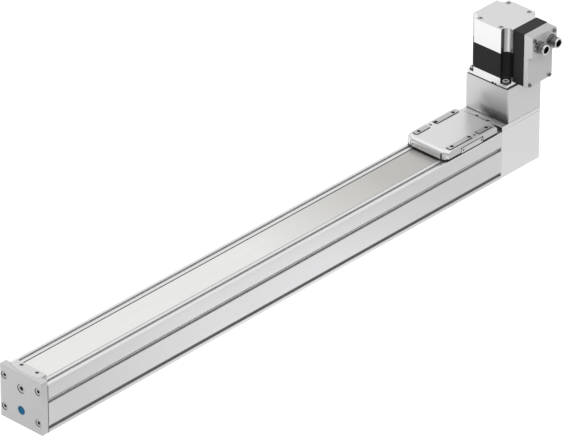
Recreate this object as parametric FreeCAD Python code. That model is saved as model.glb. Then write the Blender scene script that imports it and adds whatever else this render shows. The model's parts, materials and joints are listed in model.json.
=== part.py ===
"""Belt driven linear axis with a vertical motor, in millimetres.

The origin is the middle of the profile's underside. +X runs along the travel, from the idler end
to the drive end, +Y across the axis and +Z up. The slide stands near the drive end at rest.
"""
import FreeCAD, Part
import math
import os

Vector = FreeCAD.Vector

# Extruded profile
AXIS_WIDTH = 60.0
PROFILE_LENGTH = 703.2
PROFILE_HEIGHT = 58.0
CAVITY_WALL = 9.7
CAVITY_FLOOR = 11.0
LIP_THICKNESS = 4.0
RIM_WIDTH = 4.2
DUST_GROOVE_WIDTH = 2.6
DUST_GROOVE_DEPTH = 3.6
SLOT_HEIGHT = 34.9
SLOT_OPENING = 2.5
SLOT_DEPTH = 5.0
SLOT_FLARE = 3.6
SLOT_FLARE_DEPTH = 1.9
FOOT_GROOVE_HEIGHT = 3.8
FOOT_GROOVE_OPENING = 4.0
FOOT_GROOVE_DEPTH = 3.0
LOWER_TAPER_TOP = 14.0
LOWER_TAPER = 0.35
EDGE_CHAMFER = 0.7

# Screws that hold the end cap and the head to the profile
CORNER_SCREW_EDGE = 5.7
CORNER_SCREW_LOW = 13.0
CORNER_SCREW_HIGH = 50.8
CORNER_SCREW_R = 2.4
CORNER_HEAD_R = 4.0
CORNER_HEAD_HEIGHT = 3.8
CORNER_SCREW_GRIP = 14.0
SCREW_CLEARANCE = 0.15

# Cover strip, which closes the top of the profile
STRIP_THICKNESS = 0.3
STRIP_WIDTH = 37.2
STRIP_EDGE_GAP = 0.6
STRIP_LEDGE = 2.85
STRIP_LEDGE_DROP = 0.45
STRIP_LIFT = 4.5
STRIP_RAMP = 13.5
STRIP_RAMP_INSET = 3.0

# Ball rail guide
RAIL_WIDTH = 15.0
RAIL_HEIGHT = 10.0
RAIL_WAIST = 1.3
RAIL_END_GAP = 1.0
RAIL_HOLE_PITCH = 80.0
RAIL_SCREW_R = 1.9
RAIL_HEAD_R = 3.0
RAIL_HEAD_HEIGHT = 3.4
RUNNER_INSET = 0.6
RUNNER_WIDTH = 32.0
RUNNER_HEIGHT = 12.0
RUNNER_LIFT = 4.0
RUNNER_GAP = 0.3
RUNNER_CAP_LENGTH = 7.0

# Toothed belt on edge, with its pulleys
BELT_DROP = 13.7
BELT_WIDTH = 9.0
BELT_BACKING = 1.23
BELT_PITCH = 3.0
BELT_PITCH_LINE = 0.38
BELT_SEAT = 0.03
PULLEY_TEETH = 26
PULLEY_TOOTH_DEPTH = 1.28
PULLEY_SIDE_GAP = 0.2
PULLEY_FLANGE = 1.0
PULLEY_FLANGE_RISE = 2.1

# Idler end
IDLER_SETBACK = 21.9
IDLER_AXLE_R = 3.0
IDLER_BEARING_R = 6.5
IDLER_BEARING_HEIGHT = 3.5
RUNNING_GAP = 0.05
YOKE_BACK_START = 1.5
YOKE_BACK = 5.0
YOKE_PLATE = 3.1
YOKE_PLATE_GAP = 0.3
YOKE_REACH = 9.0
YOKE_HALF_WIDTH = 11.0
YOKE_GUIDE_GAP = 0.3
TENSION_SCREW_R = 3.0
TENSION_HEAD_R = 5.0
TENSION_HEAD_HEIGHT = 4.6
CAP_THICKNESS = 9.1
CAP_CORNER_R = 0.6
CAP_CHAMFER = 0.3
CAP_RISE = 5.1
CAP_SCREW_SINK = 4.6
CAP_TENSION_SINK = 5.4
COUNTERBORE_GAP = 0.3
PLUG_HEIGHT = 18.3
PLUG_R = 5.0
PLUG_DEPTH = 7.0
PLUG_SINK = 0.6

# Strip clamp at the idler end
CLAMP_WIDTH = 41.6
CLAMP_BACK = 7.9
CLAMP_ARC_R = 67.0
CLAMP_ARC_NEAR = 2.9
CLAMP_GAP = 0.3
CLAMP_SCREW_BACK = 3.7
CLAMP_SCREW_Y = 11.2
CLAMP_SCREW_R = 1.5
CLAMP_HEAD_R = 2.0
ANCHOR_HEIGHT = 3.6
ANCHOR_FRONT = 0.3

# Stops at both ends of the travel
STOP_POST_IDLER = 35.0
STOP_POST_DRIVE = 8.4
STOP_HEIGHT = 28.6
STOP_R = 5.0
STOP_RUBBER = 6.0

# Slide, which stands a short way from the head at rest
SLIDE_LENGTH = 87.0
SLIDE_HEAD_GAP = 4.3
SLIDE_UNDERSIDE = 2.1
SLIDE_THICKNESS = 9.9
SLIDE_CHAMFER_X = 4.0
SLIDE_CHAMFER_Y = 8.0
SLIDE_END_ROUND = 5.0
SLIDE_SEAM_WIDTH = 1.0
SLIDE_SEAM_DEPTH = 0.9
TUNNEL_SIDE_GAP = 0.8
TUNNEL_HEIGHT = 4.4
PAD_HEIGHT = 0.8
PAD_INNER = 21.0
PAD_OUTER = 27.3
PAD_LONG = (-34.2, 1.8)
PAD_SHORT = (12.7, 34.3)
PAD_CORNER = 1.6
PAD_GROOVE = 0.8
PAD_GROOVE_DEPTH = 1.5
TABLE_HOLE_X = 28.0
TABLE_HOLE_Y = 24.1
TABLE_HOLE_R = 2.1
TABLE_HOLE_DEPTH = 7.0
PIN_HOLE_X = 8.0
PIN_HOLE_Y = 24.7
PIN_HOLE_R = 1.5
PIN_HOLE_DEPTH = 5.0
SIDE_COVER_SPAN = (-18.7, 15.8)
SIDE_COVER_HEIGHT = 6.0
SIDE_COVER_THICKNESS = 1.3
SIDE_COVER_CORNER = 2.2
SIDE_COVER_GAP = 0.5
SIDE_SCREW_SPAN = (-15.4, 13.8)
SIDE_SCREW_RISE = 3.1
SIDE_SCREW_R = 0.8
SIDE_SCREW_HEAD_R = 1.1
SIDE_SCREW_SINK = 0.5
END_PLATE_INSET = 0.15
END_PLATE_LENGTH = 3.6
END_PLATE_GAP = 0.1
SEAL_INSET = 0.25
SEAL_LIP = 3.2
SEAL_SIDE_LIP = 1.7
SEAL_GAP = 0.4
SEAL_FIN_GAP = 0.1

# Carriage body, which joins the runner to the slide
BODY_BASE_INSET = 13.5
BODY_BASE_HEIGHT = 7.0
BODY_COLUMN_INSET = 3.0
BODY_COLUMN_HALF_WIDTH = 9.6
BODY_NECK_GAP = 1.0
BODY_NECK_OVER_BELT = 1.8
WING_INSET = 7.5
WING_GAP = 0.7
WING_THICKNESS = 2.9
WING_HALF_WIDTH = 27.0
WING_POCKET_GAP = 0.3
BODY_SCREW_X = 17.0
BODY_SCREW_R = 1.9
BODY_HEAD_R = 3.4
BODY_SCREW_BITE = 5.0
RUNNER_SCREW_X = 12.5
RUNNER_SCREW_Y = 12.5
RUNNER_SCREW_R = 1.5
RUNNER_HEAD_R = 2.75
RUNNER_HEAD_HEIGHT = 3.0
RUNNER_SCREW_BITE = 5.0
BELT_CLAMP_LENGTH = 36.0
BELT_CLAMP_THICKNESS = 3.0
BELT_CLAMP_SCREW_PITCH = 12.0
BELT_CLAMP_SCREW_R = 1.4
BELT_CLAMP_HEAD_R = 2.4
BELT_CLAMP_HEAD_HEIGHT = 1.8
BELT_CLAMP_GAP = 0.1
LIFTER_GAP = 0.25
LIFTER_SINK = 3.4

# Drive head
HEAD_LENGTH = 63.4
HEAD_RISE = 6.3
HEAD_CORNER_R = 1.0
SEAM_CHAMFER = 0.6
HEAD_PLATE_THICKNESS = 5.0
HEAD_SCREW_FLANGE = 8.0
HEAD_STRIP_SCREW_X = 2.1
HEAD_STRIP_SCREW_Y = 8.1
HEAD_STRIP_SCREW_R = 1.2
HEAD_STRIP_HEAD_R = 1.7
STRIP_HEAD_BITE = 7.0
HEAD_CAVITY_MARGIN = 2.3
BEARING_R = 13.0
BEARING_HEIGHT = 8.0
DRIVE_SHAFT_R = 5.0
PULLEY_HUB_R = 7.0
PULLEY_HUB_GAP = 0.2

# Coupling and its housing
BLOCK_SETBACK = 7.8
BLOCK_HEIGHT = 43.1
BLOCK_BORE_R = 18.5
BLOCK_SCREW_X = 23.2
BLOCK_SCREW_Y = 8.5
BLOCK_SCREW_R = 1.9
BLOCK_HEAD_R = 3.4
BLOCK_HEAD_HEIGHT = 4.0
BLOCK_SCREW_BITE = 5.5
COUPLING_R = 15.0
COUPLING_BORE_WALL = 6.5
COUPLING_HUB = 12.0
COUPLING_JAW = 8.0
COUPLING_JAW_ANGLE = 48.0
COUPLING_JAWS = 3
COUPLING_START = 3.7
COUPLING_GAP = 0.2

# Motor
MOTOR_SIDE = 56.4
MOTOR_SCOOP_INSET = 3.0
MOTOR_SCOOP_R = 6.4
MOTOR_CORNER_R = 1.5
GASKET_THICKNESS = 1.6
GASKET_INSET = 0.3
FLANGE_FOOT = 3.3
FLANGE_HEIGHT = 9.8
PILOT_R = 19.05
PILOT_DEPTH = 1.6
PILOT_GAP = 0.05
FLANGE_SCREW_PITCH = 47.14
FLANGE_SCREW_R = 2.4
FLANGE_HEAD_R = 3.9
FLANGE_HEAD_HEIGHT = 3.4
FLANGE_POCKET_GAP = 1.2
FLANGE_SCREW_BITE = 12.0
PRY_SLOTS = ((-9.1, 3.2), (-12.9, 2.0))
PRY_SLOT_HEIGHT = 1.4
PRY_SLOT_DEPTH = 2.0
STATOR_HEIGHT = 30.6
REAR_HEIGHT = 29.3
STATOR_BORE_R = 14.6
ROTOR_GAP = 0.4
ROTOR_END_GAP = 2.0
MOTOR_SHAFT_R = 4.0
MOTOR_BEARING_R = 11.0
MOTOR_BEARING_HEIGHT = 7.0
MOTOR_BEARING_STEP = 1.2
REAR_SCREW_X = 23.1
REAR_SCREW_Y = 14.9
REAR_SCREW_R = 1.5
REAR_HEAD_R = 2.7
REAR_HEAD_HEIGHT = 2.0
REAR_HEAD_RISE = 0.3
REAR_HEAD_GAP = 0.15

# Electronics on the side of the motor
BOX_WIDTH = 38.2
BOX_START = -17.7
BOX_DEPTH = 15.2
BOX_BOTTOM = 5.9
BOX_TOP_DROP = 0.6
BOX_WALL = 2.5
COVER_OVERLAP_FRONT = 0.1
COVER_OVERLAP_REAR = 2.2
COVER_DEPTH = 6.3
COVER_WALL = 2.0
COVER_STEP = 5.9
COVER_STEP_HEIGHT = 27.0
COVER_FILLET = 2.6
COVER_CORNER_R = 5.0
BOARD_THICKNESS = 1.6
BOARD_GAP = 0.3
COVER_SCREW_INSET = 3.0
COVER_SCREW_R = 1.2
COVER_HEAD_R = 2.2
COVER_HEAD_HEIGHT = 1.6
COVER_SCREW_BITE = 8.0
CONNECTOR_PITCH = 20.4
CONNECTOR_FIRST = 8.8
CONNECTOR_DROP = 13.8
CONNECTOR_COLLAR_R = 7.2
CONNECTOR_COLLAR = 4.2
CONNECTOR_R = 6.0
CONNECTOR_LENGTH = 12.3
CONNECTOR_BORE_R = 4.2
CONNECTOR_SOCKET = 9.5
CONNECTOR_NECK_R = 4.9
INSERT_DEPTH = 1.5
CONTACT_R = 0.5
CONTACT_CIRCLE_R = 2.6
CONTACT_RECESS = 1.2

# Places that follow from the sizes
HALF = AXIS_WIDTH / 2
X_START = -PROFILE_LENGTH / 2
X_END = PROFILE_LENGTH / 2
TOP = PROFILE_HEIGHT
CAVITY_HALF = HALF - CAVITY_WALL
LIP_UNDERSIDE = TOP - LIP_THICKNESS
STRIP_HALF = STRIP_WIDTH / 2
STRIP_SEAT = TOP - STRIP_LEDGE_DROP
OPENING_HALF = STRIP_HALF + STRIP_EDGE_GAP - STRIP_LEDGE
SCREW_Y = HALF - CORNER_SCREW_EDGE
SCREW_PLACES = [(sy * SCREW_Y, z) for sy in (-1, 1) for z in (CORNER_SCREW_LOW, CORNER_SCREW_HIGH)]
RUNNER_TOP = CAVITY_FLOOR + RUNNER_LIFT + RUNNER_HEIGHT
PITCH_R = PULLEY_TEETH * BELT_PITCH / (2 * math.pi)
PULLEY_R = PITCH_R - BELT_PITCH_LINE
BELT_INNER = PULLEY_R + BELT_SEAT
BELT_OUTER = BELT_INNER + BELT_BACKING
BELT_MID = TOP - BELT_DROP
BELT_LOW = BELT_MID - BELT_WIDTH / 2
BELT_HIGH = BELT_MID + BELT_WIDTH / 2
PULLEY_LOW = BELT_LOW - PULLEY_SIDE_GAP
PULLEY_HIGH = BELT_HIGH + PULLEY_SIDE_GAP
IDLER_X = X_START + IDLER_SETBACK
CAP_X = X_START - CAP_THICKNESS
CAP_TOP = TOP + CAP_RISE
SLIDE_X = X_END - SLIDE_HEAD_GAP - SLIDE_LENGTH / 2
LIFT_FOOT = SLIDE_LENGTH / 2 - STRIP_RAMP_INSET
LIFT_FLAT = LIFT_FOOT - STRIP_RAMP
COLUMN_HALF = LIFT_FLAT - BODY_COLUMN_INSET
BASE_HALF = SLIDE_LENGTH / 2 - BODY_BASE_INSET
RUNNER_HALF = BASE_HALF - RUNNER_INSET
WING_HALF = SLIDE_LENGTH / 2 - WING_INSET
SLIDE_LOW = TOP + SLIDE_UNDERSIDE
SLIDE_TOP = SLIDE_LOW + SLIDE_THICKNESS
TUNNEL_HALF = STRIP_HALF + TUNNEL_SIDE_GAP
TUNNEL_TOP = SLIDE_LOW + TUNNEL_HEIGHT
WING_LOW = TOP + WING_GAP
WING_TOP = WING_LOW + WING_THICKNESS
NECK_HALF = OPENING_HALF - BODY_NECK_GAP
NECK_LOW = BELT_HIGH + BODY_NECK_OVER_BELT
BASE_TOP = RUNNER_TOP + BODY_BASE_HEIGHT
HEAD_REAR = X_END + HEAD_LENGTH
HEAD_TOP = TOP + HEAD_RISE
HEAD_SEAM = HEAD_TOP - HEAD_PLATE_THICKNESS
BLOCK_FRONT = X_END + BLOCK_SETBACK
BLOCK_LENGTH = HEAD_REAR - BLOCK_FRONT
BLOCK_TOP = HEAD_TOP + BLOCK_HEIGHT
DRIVE_X = BLOCK_FRONT + BLOCK_LENGTH / 2
MOTOR_HALF = MOTOR_SIDE / 2
FLANGE_LOW = BLOCK_TOP + GASKET_THICKNESS
FLANGE_TOP = FLANGE_LOW + FLANGE_HEIGHT
STATOR_TOP = FLANGE_TOP + STATOR_HEIGHT
MOTOR_TOP = STATOR_TOP + REAR_HEIGHT
BOX_LOW = BLOCK_TOP + BOX_BOTTOM
BOX_HIGH = MOTOR_TOP - BOX_TOP_DROP
BOX_FRONT = DRIVE_X + BOX_START
COVER_FRONT = BOX_FRONT - COVER_OVERLAP_FRONT
COVER_WIDTH = COVER_OVERLAP_FRONT + BOX_WIDTH + COVER_OVERLAP_REAR
COVER_Y = -MOTOR_HALF - BOX_DEPTH
COVER_FACE = COVER_Y - COVER_DEPTH
STEP_FACE = COVER_FACE - COVER_STEP
STEP_LOW = BOX_HIGH - COVER_STEP_HEIGHT
CONNECTOR_Z = BOX_HIGH - CONNECTOR_DROP
HUB_LOW = HEAD_TOP + COUPLING_START
JAW_LOW = HUB_LOW + COUPLING_HUB
JAW_HIGH = JAW_LOW + COUPLING_JAW
HUB_HIGH = JAW_HIGH + COUPLING_HUB

X = Vector(1, 0, 0)
Y = Vector(0, 1, 0)
Z = Vector(0, 0, 1)


def box(x0, x1, y0, y1, z0, z1):
    return Part.makeBox(x1 - x0, y1 - y0, z1 - z0, Vector(x0, y0, z0))


def rod(radius, start, length, axis):
    return Part.makeCylinder(radius, length, Vector(*start), axis)


def ring(outer, inner, start, length, axis):
    return rod(outer, start, length, axis).cut(rod(inner, start, length, axis))


def prism(points, way):
    """A straight-sided outline, extruded along a vector."""
    corners = [Vector(*p) for p in points]
    return Part.Face(Part.makePolygon(corners + corners[:1])).extrude(way)


def fused(shapes):
    """One solid from touching shapes."""
    return shapes[0].multiFuse(shapes[1:]).removeSplitter()


def group(shapes):
    return Part.makeCompound(shapes)


def turned(shape, x):
    """The shape turned half a turn about the vertical line through x."""
    copy = shape.copy()
    copy.rotate(Vector(x, 0, 0), Z, 180)
    return copy


def mirrored_y(shape):
    return shape.mirror(Vector(0, 0, 0), Y)


def upright_edges(shape, places):
    """The vertical edges that stand at any of the given x, y places."""
    found = []
    for edge in shape.Edges:
        ends = [v.Point for v in edge.Vertexes]
        if len(ends) == 2 and abs(ends[0].x - ends[1].x) + abs(ends[0].y - ends[1].y) < 1e-6:
            if any(abs(ends[0].x - x) + abs(ends[0].y - y) < 1e-3 for x, y in places):
                found.append(edge)
    return found


def flat_edges(shape, axis, place):
    """The edges that lie in the plane at a place along an axis."""
    found = []
    for edge in shape.Edges:
        ends = [v.Point.dot(axis) for v in edge.Vertexes]
        if all(abs(end - place) < 1e-3 for end in ends):
            found.append(edge)
    return found


def rounded_box(x0, x1, y0, y1, z0, z1, radius):
    """A box with its four vertical edges rounded."""
    block = box(x0, x1, y0, y1, z0, z1)
    corners = [(x, y) for x in (x0, x1) for y in (y0, y1)]
    return block.makeFillet(radius, upright_edges(block, corners))


def sector(r0, r1, start, end, z0, z1):
    """A piece of a ring about the drive axis, between two angles in degrees."""
    piece = Part.makeCylinder(r1, z1 - z0, Vector(DRIVE_X, 0, z0), Z, end - start)
    piece = piece.cut(rod(r0, (DRIVE_X, 0, z0), z1 - z0, Z))
    piece.rotate(Vector(DRIVE_X, 0, 0), Z, start)
    return piece


def hex_socket(radius, depth, mouth, axis):
    """A hexagonal key socket that opens at the mouth and runs along the axis."""
    side = Vector(0, 0, 1) if abs(axis.z) < 0.5 else Vector(1, 0, 0)
    other = axis.cross(side)
    corners = []
    for i in range(6):
        angle = math.radians(60 * i)
        corners.append(Vector(*mouth) + side * (radius * math.cos(angle)) + other * (radius * math.sin(angle)))
    return Part.Face(Part.makePolygon(corners + corners[:1])).extrude(axis * depth)


def cap_screw(head_r, head_height, shank_r, length, under_head, axis, socket=True):
    """A socket head screw whose shank runs along the axis from the plane under its head."""
    start = Vector(*under_head)
    head = Part.makeCylinder(head_r, head_height, start - axis * head_height, axis)
    screw = head.fuse(Part.makeCylinder(shank_r, length, start, axis)).removeSplitter()
    if socket:
        screw = screw.cut(hex_socket(head_r * 0.52, head_height * 0.6, start - axis * head_height, axis))
    return screw


def profile_outline():
    """Half of the profile's section, from the middle of its underside to the cavity floor."""
    slot_wall = HALF - SLOT_DEPTH
    slot_top = SLOT_HEIGHT + SLOT_OPENING
    groove_top = FOOT_GROOVE_HEIGHT + FOOT_GROOVE_OPENING
    rim = HALF - RIM_WIDTH
    ridge = rim - DUST_GROOVE_WIDTH
    seat = STRIP_HALF + STRIP_EDGE_GAP
    return [
        (0, 0), (HALF, 0), (HALF, FOOT_GROOVE_HEIGHT),
        (HALF - FOOT_GROOVE_DEPTH, FOOT_GROOVE_HEIGHT), (HALF - FOOT_GROOVE_DEPTH, groove_top),
        (HALF - LOWER_TAPER, groove_top), (HALF, LOWER_TAPER_TOP), (HALF, SLOT_HEIGHT),
        (slot_wall, SLOT_HEIGHT), (slot_wall, slot_top), (HALF - SLOT_FLARE_DEPTH, slot_top),
        (HALF - SLOT_FLARE_DEPTH * 0.72, slot_top + SLOT_FLARE * 0.36),
        (HALF, slot_top + SLOT_FLARE), (HALF, TOP - EDGE_CHAMFER),
        (HALF - EDGE_CHAMFER, TOP), (rim, TOP), (rim, TOP - DUST_GROOVE_DEPTH),
        (ridge, TOP - DUST_GROOVE_DEPTH), (ridge, TOP), (seat, TOP), (seat, STRIP_SEAT),
        (OPENING_HALF, STRIP_SEAT), (OPENING_HALF, LIP_UNDERSIDE), (CAVITY_HALF, LIP_UNDERSIDE),
        (CAVITY_HALF, CAVITY_FLOOR), (0, CAVITY_FLOOR),
    ]


def make_profile():
    half = profile_outline()
    outline = half + [(-y, z) for y, z in reversed(half[1:-1])]
    body = prism([(X_START, y, z) for y, z in outline], X * PROFILE_LENGTH)
    thread_r = CORNER_SCREW_R + SCREW_CLEARANCE
    depth = CORNER_SCREW_GRIP + 1
    for y, z in SCREW_PLACES:
        body = body.cut(rod(thread_r, (X_START, y, z), depth, X))
        body = body.cut(rod(thread_r, (X_END - depth, y, z), depth, X))
    for x in rail_hole_places():
        body = body.cut(rod(RAIL_SCREW_R, (x, 0, CAVITY_FLOOR - rail_screw_bite()), rail_screw_bite() + 1, Z))
    return body


def rail_hole_places():
    """The rail's screw places, evenly spaced about its middle."""
    length = PROFILE_LENGTH - 2 * RAIL_END_GAP
    count = int((length - RAIL_HOLE_PITCH / 2) // RAIL_HOLE_PITCH) + 1
    first = -RAIL_HOLE_PITCH * (count - 1) / 2
    return [first + RAIL_HOLE_PITCH * i for i in range(count)]


def rail_screw_bite():
    return CAVITY_FLOOR * 0.6


def make_guide_rail():
    half = RAIL_WIDTH / 2
    section = [
        (half, 0), (half, 0.35), (half - RAIL_WAIST, 0.52), (half - RAIL_WAIST, 0.70),
        (half, 0.84), (half, 0.95), (half - 0.5, 1),
    ]
    right = [(y, CAVITY_FLOOR + share * RAIL_HEIGHT) for y, share in section]
    outline = right + [(-y, z) for y, z in reversed(right)]
    rail = prism([(X_START + RAIL_END_GAP, y, z) for y, z in outline], X * (PROFILE_LENGTH - 2 * RAIL_END_GAP))
    top = CAVITY_FLOOR + RAIL_HEIGHT
    for x in rail_hole_places():
        rail = rail.cut(rod(RAIL_SCREW_R + SCREW_CLEARANCE, (x, 0, CAVITY_FLOOR), RAIL_HEIGHT, Z))
        rail = rail.cut(rod(RAIL_HEAD_R + SCREW_CLEARANCE, (x, 0, top - rail_head_sink()), rail_head_sink(), Z))
    return rail


def rail_head_sink():
    return RAIL_HEAD_HEIGHT + 1.0


def make_rail_screws():
    under = CAVITY_FLOOR + RAIL_HEIGHT - rail_head_sink()
    length = under - CAVITY_FLOOR + rail_screw_bite() - 0.5
    return group([
        cap_screw(RAIL_HEAD_R, RAIL_HEAD_HEIGHT, RAIL_SCREW_R, length, (x, 0, under), -Z, socket=False)
        for x in rail_hole_places()
    ])


def make_ball_runner():
    """The steel block with its ball grooves, between the two end caps."""
    half_length = RUNNER_HALF - RUNNER_CAP_LENGTH
    return runner_section(SLIDE_X - half_length, SLIDE_X + half_length, 0, tapped=True)


def runner_section(x0, x1, inset, tapped=False):
    low = CAVITY_FLOOR + RUNNER_LIFT
    outer = RUNNER_WIDTH / 2 - inset
    inner = RAIL_WIDTH / 2 + RUNNER_GAP
    lip = inner - RAIL_WAIST + 0.3
    lip_low = CAVITY_FLOOR + RAIL_HEIGHT * 0.55
    lip_high = CAVITY_FLOOR + RAIL_HEIGHT * 0.67
    roof = CAVITY_FLOOR + RAIL_HEIGHT + RUNNER_GAP
    right = [
        (inner, low), (outer, low), (outer, RUNNER_TOP - inset), (0, RUNNER_TOP - inset),
    ]
    left = [(-y, z) for y, z in reversed(right[:-1])]
    cut_left = [(-inner, lip_low), (-lip, lip_low), (-lip, lip_high), (-inner, lip_high + RAIL_WAIST), (-inner, roof)]
    cut_right = [(-y, z) for y, z in reversed(cut_left)]
    outline = right + left + cut_left + cut_right
    block = prism([(x0, y, z) for y, z in outline], X * (x1 - x0))
    if tapped:
        for x, y in runner_screw_places():
            start = (x, y, RUNNER_TOP - RUNNER_SCREW_BITE - 1)
            block = block.cut(rod(RUNNER_SCREW_R + SCREW_CLEARANCE, start, RUNNER_SCREW_BITE + 1, Z))
    return block


def runner_screw_places():
    return [(SLIDE_X + sx * RUNNER_SCREW_X, sy * RUNNER_SCREW_Y) for sx in (-1, 1) for sy in (-1, 1)]


def make_runner_end_caps():
    half = RUNNER_HALF
    near = half - RUNNER_CAP_LENGTH
    return group([
        runner_section(SLIDE_X - half, SLIDE_X - near, 0.4),
        runner_section(SLIDE_X + near, SLIDE_X + half, 0.4),
    ])


def make_runner_screws():
    under = BASE_TOP - RUNNER_HEAD_HEIGHT - 0.4
    length = under - RUNNER_TOP + RUNNER_SCREW_BITE
    return group([
        cap_screw(RUNNER_HEAD_R, RUNNER_HEAD_HEIGHT, RUNNER_SCREW_R, length, (x, y, under), -Z, socket=False)
        for x, y in runner_screw_places()
    ])


def make_carriage_body():
    """Base on the runner, column between the belt strands, neck through the top and two wings."""
    base = box(
        SLIDE_X - BASE_HALF, SLIDE_X + BASE_HALF,
        -RUNNER_WIDTH / 2, RUNNER_WIDTH / 2, RUNNER_TOP, BASE_TOP,
    )
    x0 = SLIDE_X - COLUMN_HALF
    x1 = SLIDE_X + COLUMN_HALF
    column = box(x0, x1, -BODY_COLUMN_HALF_WIDTH, BODY_COLUMN_HALF_WIDTH, BASE_TOP, NECK_LOW)
    pad = box(
        SLIDE_X - BELT_CLAMP_LENGTH / 2, SLIDE_X + BELT_CLAMP_LENGTH / 2,
        -BELT_INNER + BELT_CLAMP_GAP, -BODY_COLUMN_HALF_WIDTH, BASE_TOP, NECK_LOW,
    )
    neck = box(x0, x1, -NECK_HALF, NECK_HALF, NECK_LOW, WING_LOW)
    saddle = box(x0, x1, -WING_HALF_WIDTH, WING_HALF_WIDTH, WING_LOW, WING_TOP)
    wing = box(
        SLIDE_X - WING_HALF, SLIDE_X + WING_HALF,
        TUNNEL_HALF, WING_HALF_WIDTH, WING_LOW, WING_TOP,
    )
    body = fused([base, column, pad, neck, saddle, wing, mirrored_y(wing)])
    for x, y in runner_screw_places():
        body = body.cut(rod(RUNNER_SCREW_R + SCREW_CLEARANCE, (x, y, RUNNER_TOP), BODY_BASE_HEIGHT, Z))
        sink = RUNNER_HEAD_HEIGHT + 0.4
        body = body.cut(rod(RUNNER_HEAD_R + COUNTERBORE_GAP, (x, y, BASE_TOP - sink), sink, Z))
    for x, y in body_screw_places():
        body = body.cut(rod(BODY_SCREW_R + SCREW_CLEARANCE, (x, y, WING_LOW), WING_THICKNESS, Z))
        body = body.cut(body_screw_cone(x, y, BODY_HEAD_R + SCREW_CLEARANCE))
    for x in belt_clamp_screw_places():
        start = (x, -BELT_INNER, belt_clamp_screw_height())
        body = body.cut(rod(BELT_CLAMP_SCREW_R + SCREW_CLEARANCE, start, BELT_INNER - 2, Y))
    return body


def body_screw_places():
    """Screws up through the wings into the slide, outside the strip."""
    y = (TUNNEL_HALF + WING_HALF_WIDTH) / 2
    return [(SLIDE_X + sx * BODY_SCREW_X, sy * y) for sx in (-1, 1) for sy in (-1, 1)]


def body_screw_cone(x, y, radius):
    height = radius - BODY_SCREW_R
    return Part.makeCone(radius, BODY_SCREW_R, height, Vector(x, y, WING_LOW), Z)


def make_carriage_screws():
    """Countersunk screws, flush with the underside of the wings."""
    shapes = []
    for x, y in body_screw_places():
        shank = rod(BODY_SCREW_R, (x, y, WING_LOW), WING_THICKNESS + BODY_SCREW_BITE, Z)
        shapes.append(shank.fuse(body_screw_cone(x, y, BODY_HEAD_R)).removeSplitter())
    return group(shapes)


def belt_clamp_screw_places():
    return [SLIDE_X + BELT_CLAMP_SCREW_PITCH * i for i in (-1, 0, 1)]


def belt_clamp_screw_height():
    return (BASE_TOP + BELT_LOW) / 2


def make_belt_clamp():
    """A plate that presses one strand of the belt against the carriage body."""
    x0 = SLIDE_X - BELT_CLAMP_LENGTH / 2
    inner = -BELT_OUTER - BELT_CLAMP_GAP
    outer = inner - BELT_CLAMP_THICKNESS
    pad = -BELT_INNER + BELT_CLAMP_GAP
    low = BASE_TOP + 0.2
    foot_top = BELT_LOW - 0.2
    outline = [
        (outer, low), (pad, low), (pad, foot_top), (inner, foot_top),
        (inner, BELT_HIGH + 1), (outer, BELT_HIGH + 1),
    ]
    plate = prism([(x0, y, z) for y, z in outline], X * BELT_CLAMP_LENGTH)
    for x in belt_clamp_screw_places():
        start = (x, outer, belt_clamp_screw_height())
        plate = plate.cut(rod(BELT_CLAMP_SCREW_R + SCREW_CLEARANCE, start, pad - outer, Y))
    return plate


def make_belt_clamp_screws():
    outer = -BELT_OUTER - BELT_CLAMP_GAP - BELT_CLAMP_THICKNESS
    return group([
        cap_screw(
            BELT_CLAMP_HEAD_R, BELT_CLAMP_HEAD_HEIGHT, BELT_CLAMP_SCREW_R, -outer - 3,
            (x, outer, belt_clamp_screw_height()), Y, socket=False,
        )
        for x in belt_clamp_screw_places()
    ])


def make_strip_lifters():
    """Ramps at both ends of the neck that raise the cover strip through the slide."""
    x0 = COLUMN_HALF
    top = STRIP_SEAT + STRIP_LIFT - LIFTER_GAP
    foot = STRIP_SEAT - LIFTER_GAP
    low = TOP - LIFTER_SINK
    outline = [
        (x0, low), (x0, top), (LIFT_FLAT, top),
        (LIFT_FOOT - 0.8, foot), (LIFT_FOOT - 0.8, foot - 0.9), (x0 + 5, low),
    ]
    shapes = []
    for sign in (-1, 1):
        points = [(SLIDE_X + sign * x, -NECK_HALF, z) for x, z in outline]
        shapes.append(prism(points, Y * (2 * NECK_HALF)))
    return group(shapes)


def slide_outline(inset, low, height):
    """The slide's bevelled outline, drawn in all round by an inset, as a plate."""
    half = SLIDE_LENGTH / 2
    cx = SLIDE_CHAMFER_X
    cy = SLIDE_CHAMFER_Y
    outline = []
    for sx, sy, along in ((-1, -1, True), (1, -1, False), (1, 1, True), (-1, 1, False)):
        pair = [(sx * (half - inset), sy * (HALF - cy)), (sx * (half - cx), sy * (HALF - inset))]
        outline += pair if along else pair[::-1]
    return prism([(SLIDE_X + x, y, low) for x, y in outline], Z * height)


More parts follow.
